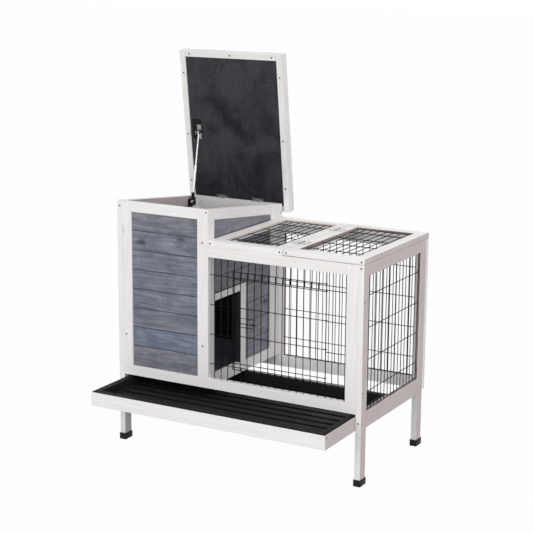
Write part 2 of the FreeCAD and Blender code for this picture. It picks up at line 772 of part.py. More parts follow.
slider = fuse(
    [
        rod("x", eye_start, "0", "0", "strut_eye", "strut_eye_width"),
        rod("z", "0", "0", "0 - rod_length", "rod_radius", "rod_length"),
    ]
)
across = rod("x", eye_start, "0", "0", EYE_BORE, "strut_eye_width")
rod_frame = FreeCAD.Placement(stud_point, strut_turn)
sub_part("strut_rod", [cut(slider, across)], rod_frame)

STUD_Z = "axis_sink - stud_drop"
FOOT_UNDER = "axis_sink - bracket_plate"
LUG_RIGHT = f"{EYE_LEFT} - stud_gap - stud"
foot_x = (f"{LUG_RIGHT} - lug", f"{LUG_RIGHT} - lug + foot_width")
foot_y = ("0 - stud_reach - foot_length / 2", "0 - stud_reach + foot_length / 2")
lug_y = ("0 - stud_reach - strut_eye", "0 - stud_reach + strut_eye")
lid_bracket = [
    board(foot_x, foot_y, (FOOT_UNDER, "axis_sink")),
    board((foot_x[0], LUG_RIGHT), lug_y, (f"{STUD_Z} - strut_eye", FOOT_UNDER)),
    rod("x", LUG_RIGHT, "0 - stud_reach", STUD_Z, "strut_pin", "stud"),
]
head_x = f"{foot_x[1]} - foot_screw_edge"
head_z = f"{FOOT_UNDER} - screw_head"
for place in ("0 - stud_reach - foot_screw_reach", "0 - stud_reach + foot_screw_reach"):
    lid_bracket.append(rod("z", head_x, place, head_z, "screw", "screw_head"))
sub_part("strut_lid_bracket", [fuse(lid_bracket)], lid_frame)

# Wire door: six level wires end in hooked eyes around the hinge wire, uprights lie in front
RING_HOLE = "hinge_wire + running_gap"
LEVEL_Y = f"{HINGE_Y} - ({RING_HOLE} + wire_radius)"
UPRIGHT_Y = f"{LEVEL_Y} - {CROSS}"
DOOR_BOTTOM = f"{MESH_LOW} - door_under"
DOOR_TOP = f"{crossings[-1]} + door_over"
door_inner = (f"{DOOR_BOTTOM} + door_inner_bottom", f"{DOOR_TOP} - door_inner_top")
door_levels = [DOOR_BOTTOM, door_inner[0]] + spread(*door_inner, "mesh_step")
door_levels += [door_inner[1], DOOR_TOP]
DOOR_X = f"{DOOR_LEFT} - door_lap"
HOOK_START = FreeCAD.Rotation(Z, -90)
hooks = []
for place in door_levels:
    eye = ring("z", HINGE_X, HINGE_Y, place, RING_HOLE, "wire_radius")
    eye.setExpression("Angle3", bound("eye_turn"))
    eye.Placement = FreeCAD.Placement(eye.Placement.Base, HOOK_START)
    hooks.append(eye)
door_grid = wires("x", (DOOR_X, HINGE_X), "z", door_levels, "y", LEVEL_Y)
upright = (DOOR_BOTTOM, DOOR_TOP)
door_grid += wires("z", upright, "x", door_places, "y", UPRIGHT_Y)
EDGE_Y = f"{LEVEL_Y} - wire_radius - door_edge + weld"
door_grid += wires("z", upright, "x", [DOOR_X], "y", EDGE_Y, "door_edge")
sub_part("run_door_grid", [fuse(door_grid)] + hooks)

# Bolt guides on the door, and the sliding bolt with its handle
UPRIGHT_FACE = f"{UPRIGHT_Y} - wire_radius"
BOLT_HOLE = "wire_radius + running_gap"
BOLT_Y = f"{UPRIGHT_FACE} - ({BOLT_HOLE} + 2 * guide_wire)"
BOLT_Z = f"{DOOR_BOTTOM} + bolt_level"
LOOP_Y = f"{UPRIGHT_FACE} - loop_wire"
loop = (f"{DOOR_X} + loop_lead", f"{DOOR_X} + loop_lead + loop_length")
guides = [
    ring("x", door_places[0], BOLT_Y, BOLT_Z, BOLT_HOLE, "guide_wire"),
    ring("x", door_places[2], BOLT_Y, BOLT_Z, BOLT_HOLE, "guide_wire"),
]
loop_levels = [f"{BOLT_Z} - loop_drop", f"{BOLT_Z} + loop_rise"]
guides += wires("x", loop, "z", loop_levels, "y", LOOP_Y, "loop_wire")
sub_part("run_door_guides", guides)
HANDLE_X = f"{DOOR_X} + loop_lead + loop_length / 2"
bolt = [
    rod("x", f"{DOOR_X} - bolt_lead", BOLT_Y, BOLT_Z, "wire_radius", "bolt_length"),
    rod("z", HANDLE_X, BOLT_Y, f"{BOLT_Z} - bolt_handle", "wire_radius", "bolt_handle"),
]
sub_part("run_door_bolt", [fuse(bolt)])

# Tray: a board frame with a plastic pan hung in it, on two runners between the legs
TRAY_LEFT = "panel + tray_left_gap"
TRAY_RIGHT = "width - panel - tray_right_gap"
TRAY_FRONT = "0 - tray_out"
TRAY_REAR = "depth - panel - tray_stop - tray_out"
TRAY_TOP = "tray_base + tray_height"
tray_z = ("tray_base", TRAY_TOP)
front_end = (TRAY_FRONT, f"{TRAY_FRONT} + tray_board")
rear_end = (f"{TRAY_REAR} - tray_board", TRAY_REAR)
tray_sides = (front_end[1], rear_end[0])
tray_frame = [
    board((TRAY_LEFT, TRAY_RIGHT), front_end, tray_z),
    board((TRAY_LEFT, TRAY_RIGHT), rear_end, tray_z),
    board((TRAY_LEFT, f"{TRAY_LEFT} + tray_board"), tray_sides, tray_z),
    board((f"{TRAY_RIGHT} - tray_board", TRAY_RIGHT), tray_sides, tray_z),
]
sub_part("tray_frame", tray_frame)


def inset(margin):
    """The plan of the tray, smaller by a margin on every side."""
    x = (f"{TRAY_LEFT} + {margin}", f"{TRAY_RIGHT} - ({margin})")
    y = (f"{TRAY_FRONT} + {margin}", f"{TRAY_REAR} - ({margin})")
    return x, y


PAN_FLOOR = f"{TRAY_TOP} - pan_drop + pan_skin"
PAN_TOP = f"{TRAY_TOP} + pan_skin"
flange = board(*inset("pan_edge"), (TRAY_TOP, PAN_TOP))
tub = board(*inset("tray_board + pan_fit"), (f"{TRAY_TOP} - pan_drop", PAN_TOP))
hollow_x, hollow_y = inset("tray_board + pan_fit + pan_skin")
hollow = board(hollow_x, hollow_y, (PAN_FLOOR, PAN_TOP))
keels = []
channels = [hollow]
groove_x = (f"{hollow_x[0]} + groove_end", f"{hollow_x[1]} - groove_end")
keel_x = (f"{groove_x[0]} - pan_skin", f"{groove_x[1]} + pan_skin")
for groove in range(round(value("groove_count"))):
    middle = f"{hollow_y[0]} + ({length(hollow_y)}) * (2 * {groove} + 1) / (2 * groove_count)"
    groove_y = (f"{middle} - groove_width / 2", f"{middle} + groove_width / 2")
    keel_y = (f"{groove_y[0]} - pan_skin", f"{groove_y[1]} + pan_skin")
    under = f"{PAN_FLOOR} - groove_depth"
    keels.append(board(keel_x, keel_y, (f"{under} - pan_skin", f"{PAN_FLOOR} - pan_skin / 2")))
    channels.append(board(groove_x, groove_y, (under, f"{PAN_FLOOR} + pan_skin")))
sub_part("tray_pan", [cut(fuse([flange, tub] + keels), fuse(channels))])

RUNNER_TOP = "tray_base - runner_gap"
runner_z = (f"{RUNNER_TOP} - runner_height", RUNNER_TOP)
for label, runner_x in (
    ("tray_runner_left", ("panel", "panel + runner_width")),
    ("tray_runner_right", (f"{RIGHT} - runner_width", RIGHT)),
):
    sub_part(label, [board(runner_x, ("panel", BACK), runner_z)])

# Screw heads
TOP_MID = "run_height - top_panel / 2"
front_screws = [
    (MID, "box_front_height - screw_top"),
    ("box_width - screw_near", "box_front_height - screw_edge"),
    ("box_width - screw_inset", TOP_MID),
    ("box_width + box_gap + screw_near", TOP_MID),
    (f"{SEAM_LEFT} - screw_edge", TOP_MID),
    ("box_width - screw_inset", "screw_row"),
    ("panel + screw_edge", "screw_row"),
    (f"{RIGHT} + {MID}", "run_height - top_panel - screw_edge"),
    (f"{RIGHT} + {MID}", "side_rail_base + screw_inset"),
]
heads = [rod("y", x, "0 - screw_head", z, "screw", "screw_head") for x, z in front_screws]
for place in ("side_screw_low", "side_screw_high"):
    heads.append(rod("x", "width", "side_screw", place, "screw", "screw_head"))
post_screw_z = "box_back_height - post_screw"
heads.append(rod("x", "box_width", f"{BACK} + {MID}", post_screw_z, "screw", "screw_head"))
sub_part("frame_screws", heads)
run_lid_screws = [f"{SEAM_RIGHT} + screw_edge", f"{RIGHT} + {MID}"]
heads = [rod("y", x, "0 - screw_head", TOP_MID, "screw", "screw_head") for x in run_lid_screws]
sub_part("run_lid_screws", heads)
rim_under = "axis_sink - rim_drop - screw_head"
reaches = ["0 - rim_screw_end", "0 - rim_screw_middle", f"rim_screw_end - ({LID_IN})"]
heads = []
for x in ("0 - lid_gap - rim / 2", "box_width + lid_gap + rim / 2"):
    heads += [rod("z", x, y, rim_under, "screw", "screw_head") for y in reaches]
for side in (-1, 0, 1):
    x = f"box_width / 2 + {side} * rim_screw_pitch"
    heads.append(rod("z", x, f"{rim_y[0]} + rim / 2", rim_under, "screw", "screw_head"))
sub_part("box_lid_screws", heads, lid_frame)
tray_screw_y = f"{TRAY_FRONT} + tray_screw_back"
tray_screw_z = "tray_base + tray_screw_lift"
head = rod("x", TRAY_RIGHT, tray_screw_y, tray_screw_z, "screw", "screw_head")
mirror_head = rod("x", f"{TRAY_LEFT} - screw_head", tray_screw_y, tray_screw_z, "screw", "screw_head")
sub_part("tray_screws", [head, mirror_head])

# Check every object, then move the origin under the middle of the cage and write the files
ruler.setExpression("Reading", None)
doc.recompute()
for item in doc.Objects:
    if "Invalid" in item.State or "Error" in item.State:
        raise RuntimeError(f"{item.Label} failed: {item.State}")
whole = FreeCAD.BoundBox()
for node in nodes:
    if node.Shape.isNull() or not node.Shape.isValid():
        raise RuntimeError(f"{node.Label} has no valid shape")
    whole.add(node.Shape.optimalBoundingBox())
shift = FreeCAD.Placement(FreeCAD.Vector(-whole.Center.x, -whole.Center.y, 0), FreeCAD.Rotation())
for node in nodes:
    node.Placement = shift.multiply(node.Placement)
doc.recompute()
os.makedirs("parts", exist_ok=True)
for node in nodes:
    node.Shape.exportStep(f"parts/{node.Label}.step")
print(f"{len(nodes)} sub-parts, origin at {whole.Center.x:.3f}, {whole.Center.y:.3f}")
print(f"lid axis {axis_point}, slope {slope:.3f}, anchor {anchor}, stud {stud_point}")
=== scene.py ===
# %% [markdown]
# # A raised timber cage for small pets
# The cage has a plank box with a propped roof lid at the left, a wire run with a lift-up top
# at the right, and a tray that pulls out at the front. The CAD model fixes every size and
# every hinge. In Blender each piece gets its eased edges, its grain, its paint and its wear.

# %% Load the CAD model
import json
import math

import bpy
import numpy as np
from mathutils import Matrix, Vector


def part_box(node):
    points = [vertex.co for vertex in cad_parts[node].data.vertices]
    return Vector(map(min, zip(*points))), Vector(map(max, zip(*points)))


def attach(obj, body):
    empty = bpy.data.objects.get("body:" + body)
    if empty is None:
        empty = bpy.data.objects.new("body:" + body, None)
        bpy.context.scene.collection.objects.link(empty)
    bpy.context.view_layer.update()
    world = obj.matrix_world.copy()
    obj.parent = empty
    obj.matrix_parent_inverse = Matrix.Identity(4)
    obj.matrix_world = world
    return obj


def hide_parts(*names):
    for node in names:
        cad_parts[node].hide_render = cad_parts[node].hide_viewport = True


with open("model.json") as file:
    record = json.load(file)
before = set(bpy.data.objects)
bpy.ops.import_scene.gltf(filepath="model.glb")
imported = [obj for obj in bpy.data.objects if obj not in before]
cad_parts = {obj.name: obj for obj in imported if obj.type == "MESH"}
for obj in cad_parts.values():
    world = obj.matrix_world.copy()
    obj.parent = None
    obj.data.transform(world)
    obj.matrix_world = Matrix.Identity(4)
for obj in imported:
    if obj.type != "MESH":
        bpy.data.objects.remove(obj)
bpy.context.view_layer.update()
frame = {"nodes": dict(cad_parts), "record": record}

nodes = frame["nodes"]
slot_of = {part["node"]: part["material_slot"] for part in frame["record"]["subparts"]}
body_of = {
    node: body
    for body, members in frame["record"]["behaviour"]["bodies"].items()
    for node in members
}

# %% [markdown]
# ## The camera
# The picture was taken from the front right of the cage and from a little above it, with a
# long lens. A camera can be aimed by eye, but here its direction is known as two angles. They
# give the camera's back axis, a small roll turns it about that axis, and the lens and the
# sensor give the width of the view.

# %% Camera
AZIMUTH = math.radians(29.21)
ELEVATION = math.radians(12.57)
ROLL = math.radians(0.42)
CAMERA_PLACE = (2.30004, -4.05323, 1.66705)
LENS = 97.35
SENSOR = 36
FAR_LIMIT = 40

back = Vector(
    (
        math.sin(AZIMUTH) * math.cos(ELEVATION),
        -math.cos(AZIMUTH) * math.cos(ELEVATION),
        math.sin(ELEVATION),
    )
)
right = Vector((math.cos(AZIMUTH), math.sin(AZIMUTH), 0))
upright = Matrix((right, back.cross(right), back)).transposed()
bpy.ops.object.camera_add(location=CAMERA_PLACE)
camera = bpy.context.object
camera.name = "camera"
camera.rotation_euler = (upright @ Matrix.Rotation(ROLL, 3, "Z")).to_euler()
camera.data.sensor_width = SENSOR
camera.data.lens = LENS
camera.data.clip_end = FAR_LIMIT
bpy.context.scene.camera = camera
print("camera", [round(c, 3) for c in camera.location])

# %% [markdown]
# ## Helpers for modelling
# An operator acts on all that is selected, so every step starts with nothing selected. In
# edit mode the edges are then chosen in code, by their place, where a hand would click them.


# %% Selecting
def only(piece):
    """Select one object and nothing else."""
    bpy.ops.object.select_all(action="DESELECT")
    bpy.context.view_layer.objects.active = piece
    piece.select_set(True)


def edit(piece, edges=None):
    """Go into edit mode with the chosen edges selected, or with all of the mesh."""
    only(piece)
    bpy.ops.object.mode_set(mode="EDIT")
    bpy.ops.mesh.select_mode(type="EDGE" if edges else "FACE")
    bpy.ops.mesh.select_all(action="DESELECT" if edges else "SELECT")
    bpy.ops.object.mode_set(mode="OBJECT")
    if edges:
        for edge in piece.data.edges:
            edge.select = edges(edge)
    bpy.ops.object.mode_set(mode="EDIT")


def leave():
    """Back to object mode."""
    bpy.ops.object.mode_set(mode="OBJECT")


# %% [markdown]
# A node of the CAD model is a mesh of loose triangles, and one node may hold many boards.
# The triangles come board by board, and a board is closed, so it is complete when each of its
# edges has met the same edge in the other direction. That gives every board its number. Two
# corners are the same one when their places agree to seven decimals.

# %% Numbers for the solids of a node
DECIMALS = 7


def number_solids(mesh):
    """The number of the closed solid that each corner of a mesh of loose triangles is in."""
    numbers = np.zeros(len(mesh.vertices), np.float32)
    waiting = set()
    solid = 0
    for face in mesh.polygons:
        corners = [tuple(round(c, DECIMALS) for c in mesh.vertices[v].co) for v in face.vertices]
        for start, end in zip(corners, corners[1:] + corners[:1]):
            if (end, start) in waiting:
                waiting.remove((end, start))
            else:
                waiting.add((start, end))
        numbers[list(face.vertices)] = solid
        solid += not waiting
    return numbers


def read_numbers(mesh):
    """The stored number of each corner's solid."""
    numbers = np.empty(len(mesh.vertices), np.float32)
    mesh.attributes["solid"].data.foreach_get("value", numbers)
    return np.round(numbers)


def solids(piece):
    """The separate solids of a piece, each as a list of its corners."""
    numbers = read_numbers(piece.data)
    return [np.flatnonzero(numbers == number) for number in np.unique(numbers)]


# %% [markdown]
# Most boards of the cage are right as they are in the CAD model but for their edges and their
# finish. So a step starts from a copy of a node. Its triangles are merged and its flat faces
# are made whole again, because a bevel needs shared corners and clean edges. Boards of one
# node may touch, and the corners where they do must stay apart: each board is shifted by its
# own hair's breadth before the merge, and shifted back after it.

# %% Copies of CAD nodes
MM = 0.001
HAIR = 0.05 * MM
SAME_POINT = 0.01 * MM
SAME_PLANE = math.radians(1)


def shift_solids(mesh, distance):
    """Move each solid along a diagonal, by a distance times its number."""
    numbers = read_numbers(mesh)
    places = np.empty(len(numbers) * 3, np.float32)
    mesh.vertices.foreach_get("co", places)
    places += np.repeat(numbers * distance, 3)
    mesh.vertices.foreach_set("co", places)
    mesh.update()


def merged_copy(node, name):
    """A copy of a node's mesh as its own object, with shared corners and whole flat faces."""
    mesh = nodes[node].data.copy()
    mesh.materials.clear()
    solid = mesh.attributes.new("solid", "FLOAT", "POINT")
    solid.data.foreach_set("value", number_solids(mesh))
    shift_solids(mesh, HAIR)
    piece = bpy.data.objects.new(name, mesh)
    bpy.context.scene.collection.objects.link(piece)
    edit(piece)
    bpy.ops.mesh.remove_doubles(threshold=SAME_POINT)
    bpy.ops.mesh.dissolve_limited(angle_limit=SAME_PLANE)
    leave()
    shift_solids(piece.data, -HAIR)
    return piece


def dress(piece, node, material):
    """Give a finished piece its material, its body and its slot, in place of a node."""
    piece.data.materials.clear()
    piece.data.materials.append(material)
    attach(piece, body_of[node])
    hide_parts(node)


# %% [markdown]
# Grain runs along each board, whichever way the board lies. Unwrapping every board by hand
# would do it, but there are dozens. So every corner of a board is given its distance along
# the board's own long, middle and short direction, which are found from the spread of its
# corners. A shift of many boards' lengths keeps two boards from showing the same grain, and
# one number for each board lets its tone differ.

# %% Board coordinates
FAR_SHIFT = 20


def corners_of(piece):
    """The corners of a piece as rows of three numbers."""
    return np.array([vertex.co for vertex in piece.data.vertices])


def centre(corners):
    """The middle of the box around some corners."""
    return (corners.min(0) + corners.max(0)) / 2


def spread(corners):
    """The directions in which some corners spread most, less and least."""
    return np.linalg.svd(corners - corners.mean(0), full_matrices=False)[2]


def lay_grain(piece, seed):
    """Store each corner's place along its own board, and a tone for each board."""
    random = np.random.default_rng(seed)
    corners = corners_of(piece)
    along = np.zeros((len(corners), 3), np.float32)
    tone = np.zeros(len(corners), np.float32)
    for board in solids(piece):
        own = corners[board]
        directions = spread(own)
        directions *= np.sign(directions.sum(1))[:, None]
        shift = random.uniform(-FAR_SHIFT, FAR_SHIFT, 3)
        along[board] = (own - centre(own)) @ directions.T + shift
        tone[board] = random.uniform(0, 1)
    attributes = piece.data.attributes
    attributes.new("board", "FLOAT_VECTOR", "POINT").data.foreach_set("vector", along.ravel())
    attributes.new("tone", "FLOAT", "POINT").data.foreach_set("value", tone)


# %% [markdown]
# ## Helpers for materials
# A material is a graph of nodes. One helper makes a node with its settings and its inputs, so
# that each finish below reads as a list of what it is made of.


# %% Nodes
def add(tree, kind, inputs=(), **settings):
    """A node, with settings, whose inputs are set to values or linked to other nodes."""
    made = tree.nodes.new("ShaderNode" + kind)
    for setting, value in settings.items():
        setattr(made, setting, value)
    for socket, value in dict(inputs).items():
        if isinstance(value, bpy.types.NodeSocket):
            tree.links.new(value, made.inputs[socket])
        else:
            made.inputs[socket].default_value = value
    return made


def calc(tree, operation, *values):
    """One step of arithmetic."""
    return add(tree, "Math", dict(enumerate(values)), operation=operation).outputs[0]


def ramp(tree, value, low, high):
    """0 below one value, 1 above another, and smooth between."""
    inputs = {"Value": value, "From Min": low, "From Max": high}
    return add(tree, "MapRange", inputs, interpolation_type="SMOOTHSTEP").outputs["Result"]


# %% [markdown]
# Most of a finish is one colour laid over another where a mask says so. A Mix node does that.
# Its sockets go by number: 0 is its factor, 2 and 3 are its two numbers, and 6 and 7 its two
# colours.

# %% Mixing
NUMBER_SOCKETS = (2, 3)
COLOUR_SOCKETS = (6, 7)
MIXED_COLOUR = 2


def blend(tree, factor, first, second):
    """Two colours mixed."""
    inputs = {0: factor, **dict(zip(COLOUR_SOCKETS, (first, second)))}
    return add(tree, "Mix", inputs, data_type="RGBA").outputs[MIXED_COLOUR]


def between(tree, factor, first, second):
    """Two numbers mixed."""
    inputs = {0: factor, **dict(zip(NUMBER_SOCKETS, (first, second)))}
    return add(tree, "Mix", inputs, data_type="FLOAT").outputs[0]


def over(tree, below, mask, share, colour):
    """A colour laid over another where a mask is high, up to a share of full cover."""
    return blend(tree, calc(tree, "MULTIPLY", mask, share), below, colour)


# %% [markdown]
# A pattern needs a place to be read at. For paint and metal that is the place on the object.
# For wood it is the board's own coordinates, which are stored on the mesh. Noise that is
# scaled less in one direction than in the others comes out as streaks in that direction.


# %% Places and patterns
def attribute(tree, name, output="Fac"):
    """A number or vector stored on the mesh."""
    return add(tree, "Attribute", attribute_name=name).outputs[output]


def object_place(tree):
    """Place on the object, in metres."""
    return add(tree, "TexCoord").outputs["Object"]


def stretched(tree, vector, along, across, through):
    """Coordinates scaled by their own factor along each direction."""
    factors = {0: vector, 1: (along, across, through)}
    return add(tree, "VectorMath", factors, operation="MULTIPLY").outputs[0]


def noise(tree, vector, scale, detail=4.0, roughness=0.55, distortion=0.0):
    """Soft noise between 0 and 1."""
    inputs = {"Vector": vector, "Scale": scale, "Detail": detail}
    inputs.update({"Roughness": roughness, "Distortion": distortion})
    return add(tree, "TexNoise", inputs).outputs["Fac"]


def cells(tree, vector, scale):
    """A pattern of cells, each with a random colour and the distance from its centre."""
    return add(tree, "TexVoronoi", {"Vector": vector, "Scale": scale}).outputs


def first_value(tree, colour):
    """One number out of a colour."""
    return add(tree, "SeparateColor", {0: colour}).outputs[0]


# %% [markdown]
# Every finish has the same end. Its shader stays in the material itself, a colour and a
# roughness feed it, and a height feeds it through a Bump node. The bump is only for what is
# finer than a fingernail feels, such as grain, and never stands in for a shape.


# %% Shaders
def finish(name, metallic=0.0, specular=0.5):
    """A new material with its tree and its shader."""
    material = bpy.data.materials.new(name)
    material.use_nodes = True
    surface = material.node_tree.nodes["Principled BSDF"]
    surface.inputs["Metallic"].default_value = metallic
    surface.inputs["Specular IOR Level"].default_value = specular
    return material, material.node_tree, surface


def feed(tree, surface, colour, roughness, height, strength, distance):
    """Link a colour, a roughness and a height to the shader."""
    bump = add(tree, "Bump", {"Height": height, "Strength": strength, "Distance": distance})
    tree.links.new(colour, surface.inputs["Base Color"])
    tree.links.new(roughness, surface.inputs["Roughness"])
    tree.links.new(bump.outputs["Normal"], surface.inputs["Normal"])


# %% [markdown]
# What several finishes share is built once as a node group with named inputs and outputs, and
# each material places it with its own values.


# %% Node groups
def new_group(name, inputs, outputs):
    """An empty node group with named sockets, and its two ends."""
    group = bpy.data.node_groups.new(name, "ShaderNodeTree")
    new_socket = group.interface.new_socket
    for label, kind, value in inputs:
        socket = new_socket(label, in_out="INPUT", socket_type="NodeSocket" + kind)
        if value is not None:
            socket.default_value = value
    for label in outputs:
        new_socket(label, in_out="OUTPUT", socket_type="NodeSocketFloat")
    start = group.nodes.new("NodeGroupInput")
    end = group.nodes.new("NodeGroupOutput")
    return group, start.outputs, end.inputs


def use(tree, group, **inputs):
    """A node group placed in a material."""
    return add(tree, "Group", inputs, node_tree=group).outputs


# %% [markdown]
# ### Softwood grain
# Fir shows fine streaks along the board, the wide arched lines of its growth rings, and
# knots. A photograph of wood would bring its own light and its own repeats, so noise is used.
# The streaks are noise that is stretched along the board. The rings are level lines of a
# slower noise, made by taking a sine of it. Knots are the centres of a cell pattern with
# ragged rims, kept only where the cell's own random number is high.

# %% Softwood grain
STREAK_STRETCH = (5, 260, 260)
RING_STRETCH = (1.6, 13, 13)
KNOT_STRETCH = (6.5, 15, 4)
RING_SHARPNESS = 3.0
KNOT_RAGGED = 0.06
KNOT_RIM = (0.22, 0.07)
RING_DEPTH = 0.4

grain, given, made = new_group(
    "softwood grain",
    [("Vector", "Vector", None), ("Rings", "Float", 26.0), ("Knots", "Float", 0.6)],
    ("Streaks", "Rings", "Knots", "Height"),
)
fine = noise(grain, stretched(grain, given["Vector"], *STREAK_STRETCH), 1.0, 6.0, 0.65)
slow = noise(grain, stretched(grain, given["Vector"], *RING_STRETCH), 1.0, 2.0, 0.45, 0.4)
wave = calc(grain, "SINE", calc(grain, "MULTIPLY", slow, given["Rings"]))
rings = calc(grain, "POWER", calc(grain, "ABSOLUTE", wave), RING_SHARPNESS)
cell = cells(grain, stretched(grain, given["Vector"], *KNOT_STRETCH), 1.0)
present = calc(grain, "GREATER_THAN", first_value(grain, cell["Color"]), given["Knots"])
ragged = calc(grain, "ADD", cell["Distance"], calc(grain, "MULTIPLY", fine, KNOT_RAGGED))
knots = calc(grain, "MULTIPLY", ramp(grain, ragged, *KNOT_RIM), present)
height = calc(grain, "SUBTRACT", fine, calc(grain, "MULTIPLY", rings, RING_DEPTH))
results = {"Streaks": fine, "Rings": rings, "Knots": knots, "Height": height}
for label, value in results.items():
    grain.links.new(value, made[label])
print(grain.name, "made of", len(grain.nodes), "nodes")

# %% [markdown]
# ### Smudges
# Paint and plastic that people handle never stay even: wide soft clouds change how they
# shine, and small specks of dust lie on them. Both are noise, one slow and one very fine,
# with its low values cut off.

# %% Smudges
SPECK_SCALE = 420.0

smudge, given, made = new_group(
    "smudges", [("Vector", "Vector", None), ("Size", "Float", 6.0)], ("Clouds", "Specks")
)
clouds = noise(smudge, given["Vector"], given["Size"], 5.0, 0.6, 0.6)
speck = noise(smudge, given["Vector"], SPECK_SCALE, 2.0, 0.5)
smudge.links.new(ramp(smudge, clouds, 0.35, 0.7), made["Clouds"])
smudge.links.new(ramp(smudge, speck, 0.7, 0.78), made["Specks"])
print(smudge.name, "made of", len(smudge.nodes), "nodes")

# %% [markdown]
# ## The finishes
# The frames are painted in a thin white that lets the wood show: faint streaks, a few pale
# brown knots, and edges where the sanding went through to pinkish wood. On the right-hand
# sides of some frames the paint is thinner still, and the pinkish wood shows all over; these
# sides are also painted darker, as painted shade for the light that falls less on them. The
# doorway's frame is painted near-black on all but its right-hand faces, as painted shade
# inside the doorway. One plain white would look like plastic, so each of these is a layer of
# its own, laid over the one before.

# %% White timber
COOL_WHITE = (0.84, 0.838, 0.836, 1)
WARM_WHITE = (0.8, 0.782, 0.772, 1)
BARE_WOOD = (0.57, 0.485, 0.48, 1)
BARE_STREAK = (0.33, 0.262, 0.258, 1)
FAINT_STREAK = (0.58, 0.54, 0.535, 1)
FAINT_RING = (0.62, 0.57, 0.55, 1)
FAINT_KNOT = (0.42, 0.32, 0.27, 1)
HANDLED_WHITE = (0.5, 0.48, 0.46, 1)
SANDED_EDGE = (0.6, 0.45, 0.4, 1)
DOORWAY_SHADE = (0.02, 0.021, 0.027, 1)

white_timber, tree, surface = finish("white_timber", specular=0.35)
wood = use(tree, grain, Vector=attribute(tree, "board", "Vector"), Rings=22.0, Knots=0.72)
marks = use(tree, smudge, Vector=object_place(tree), Size=9.0)
streaks = ramp(tree, wood["Streaks"], 0.3, 0.75)
worn = calc(tree, "MULTIPLY", attribute(tree, "edge"), marks["Clouds"])
bare_and_shaded = blend(tree, wood["Streaks"], BARE_WOOD, BARE_STREAK)
paint = blend(tree, attribute(tree, "tone"), COOL_WHITE, WARM_WHITE)
# The marked right-hand faces show pinkish wood, and are painted darker as painted shade.
paint = over(tree, paint, attribute(tree, "thin"), 0.85, bare_and_shaded)
paint = over(tree, paint, streaks, 0.26, FAINT_STREAK)
paint = over(tree, paint, wood["Rings"], 0.16, FAINT_RING)
paint = over(tree, paint, wood["Knots"], 0.4, FAINT_KNOT)
paint = over(tree, paint, marks["Clouds"], 0.06, HANDLED_WHITE)
paint = over(tree, paint, worn, 0.45, SANDED_EDGE)
# Painted shade: the marked faces of the doorway's frame are near-black.
paint = blend(tree, attribute(tree, "dark"), paint, DOORWAY_SHADE)
gloss = between(tree, marks["Clouds"], 0.42, 0.6)
feed(tree, surface, paint, gloss, wood["Height"], 0.22, 0.4 * MM)
print(white_timber.name, "made of", len(tree.nodes), "nodes")

# %% [markdown]
# The planks outside are stained blue-grey. Stain sinks in more where the wood is soft, so the
# streaks and rings come out dark, and it dries in blotches. The knots are dark by themselves.
# The planks between box and run are greyer, and the floor boards are navy. The chamfers and
# the inner sides of all planks are nearly black, and marks on the mesh say where they are.

# %% Stained planks
KNOT_STAIN = (0.035, 0.034, 0.042, 1)
CHAMFER_STAIN = (0.03, 0.033, 0.042, 1)
INNER_NEAR_BLACK = (0.022, 0.024, 0.03, 1)
INNER_STREAK = (0.006, 0.006, 0.007, 1)
BLOTCH_STRETCH = (14, 34, 34)


def stained(name, light, dark, blue):
    """Planks with a stain outside, and nearly black on their inner side."""
    material, tree, surface = finish(name, specular=0.3)
    board = attribute(tree, "board", "Vector")
    wood = use(tree, grain, Vector=board, Rings=30.0, Knots=0.25)
    marks = use(tree, smudge, Vector=object_place(tree), Size=12.0)
    blotches = noise(tree, stretched(tree, board, *BLOTCH_STRETCH), 1.0, 6.0, 0.7, 1.2)
    stain = blend(tree, attribute(tree, "tone"), light, blue)
    stain = over(tree, stain, marks["Clouds"], 0.45, dark)
    stain = over(tree, stain, ramp(tree, blotches, 0.4, 0.7), 0.5, dark)
    stain = over(tree, stain, ramp(tree, wood["Streaks"], 0.42, 0.7), 0.42, dark)
    stain = over(tree, stain, wood["Rings"], 0.42, dark)
    stain = over(tree, stain, wood["Knots"], 0.85, KNOT_STAIN)
    stain = over(tree, stain, attribute(tree, "edge"), 0.8, CHAMFER_STAIN)
    deep = blend(tree, wood["Streaks"], INNER_NEAR_BLACK, INNER_STREAK)
    colour = blend(tree, attribute(tree, "inner"), stain, deep)
    gloss = between(tree, wood["Streaks"], 0.5, 0.68)
    feed(tree, surface, colour, gloss, wood["Height"], 0.35, 0.5 * MM)
    print(name, "made of", len(tree.nodes), "nodes")
    return material


outer_planks = stained(
    "blue_grey_planks",
    light=(0.265, 0.262, 0.285, 1),
    dark=(0.07, 0.078, 0.105, 1),
    blue=(0.2, 0.245, 0.335, 1),
)
inner_planks = stained(
    "grey_planks",
    light=(0.3, 0.298, 0.325, 1),
    dark=(0.12, 0.122, 0.145, 1),
    blue=(0.26, 0.268, 0.318, 1),
)
floor_planks = stained(
    "navy_planks",
    light=(0.06, 0.063, 0.08, 1),
    dark=(0.025, 0.027, 0.036, 1),
    blue=(0.05, 0.058, 0.085, 1),
)

# %% [markdown]
# The underside of the lid is painted charcoal and has been rubbed: dark clouds, a few pale
# scuffs that run up and down, and dust where the clouds are thin. The scuffs are noise on the
# board's own coordinates, so that they stay upright on it when the lid turns.

# %% Charcoal board
FADED_CHARCOAL = (0.034, 0.032, 0.041, 1)
DARK_CHARCOAL = (0.005, 0.0045, 0.007, 1)
SCUFFED = (0.1, 0.1, 0.11, 1)
DUSTY = (0.2, 0.2, 0.21, 1)
DUST_SCALE = 260.0

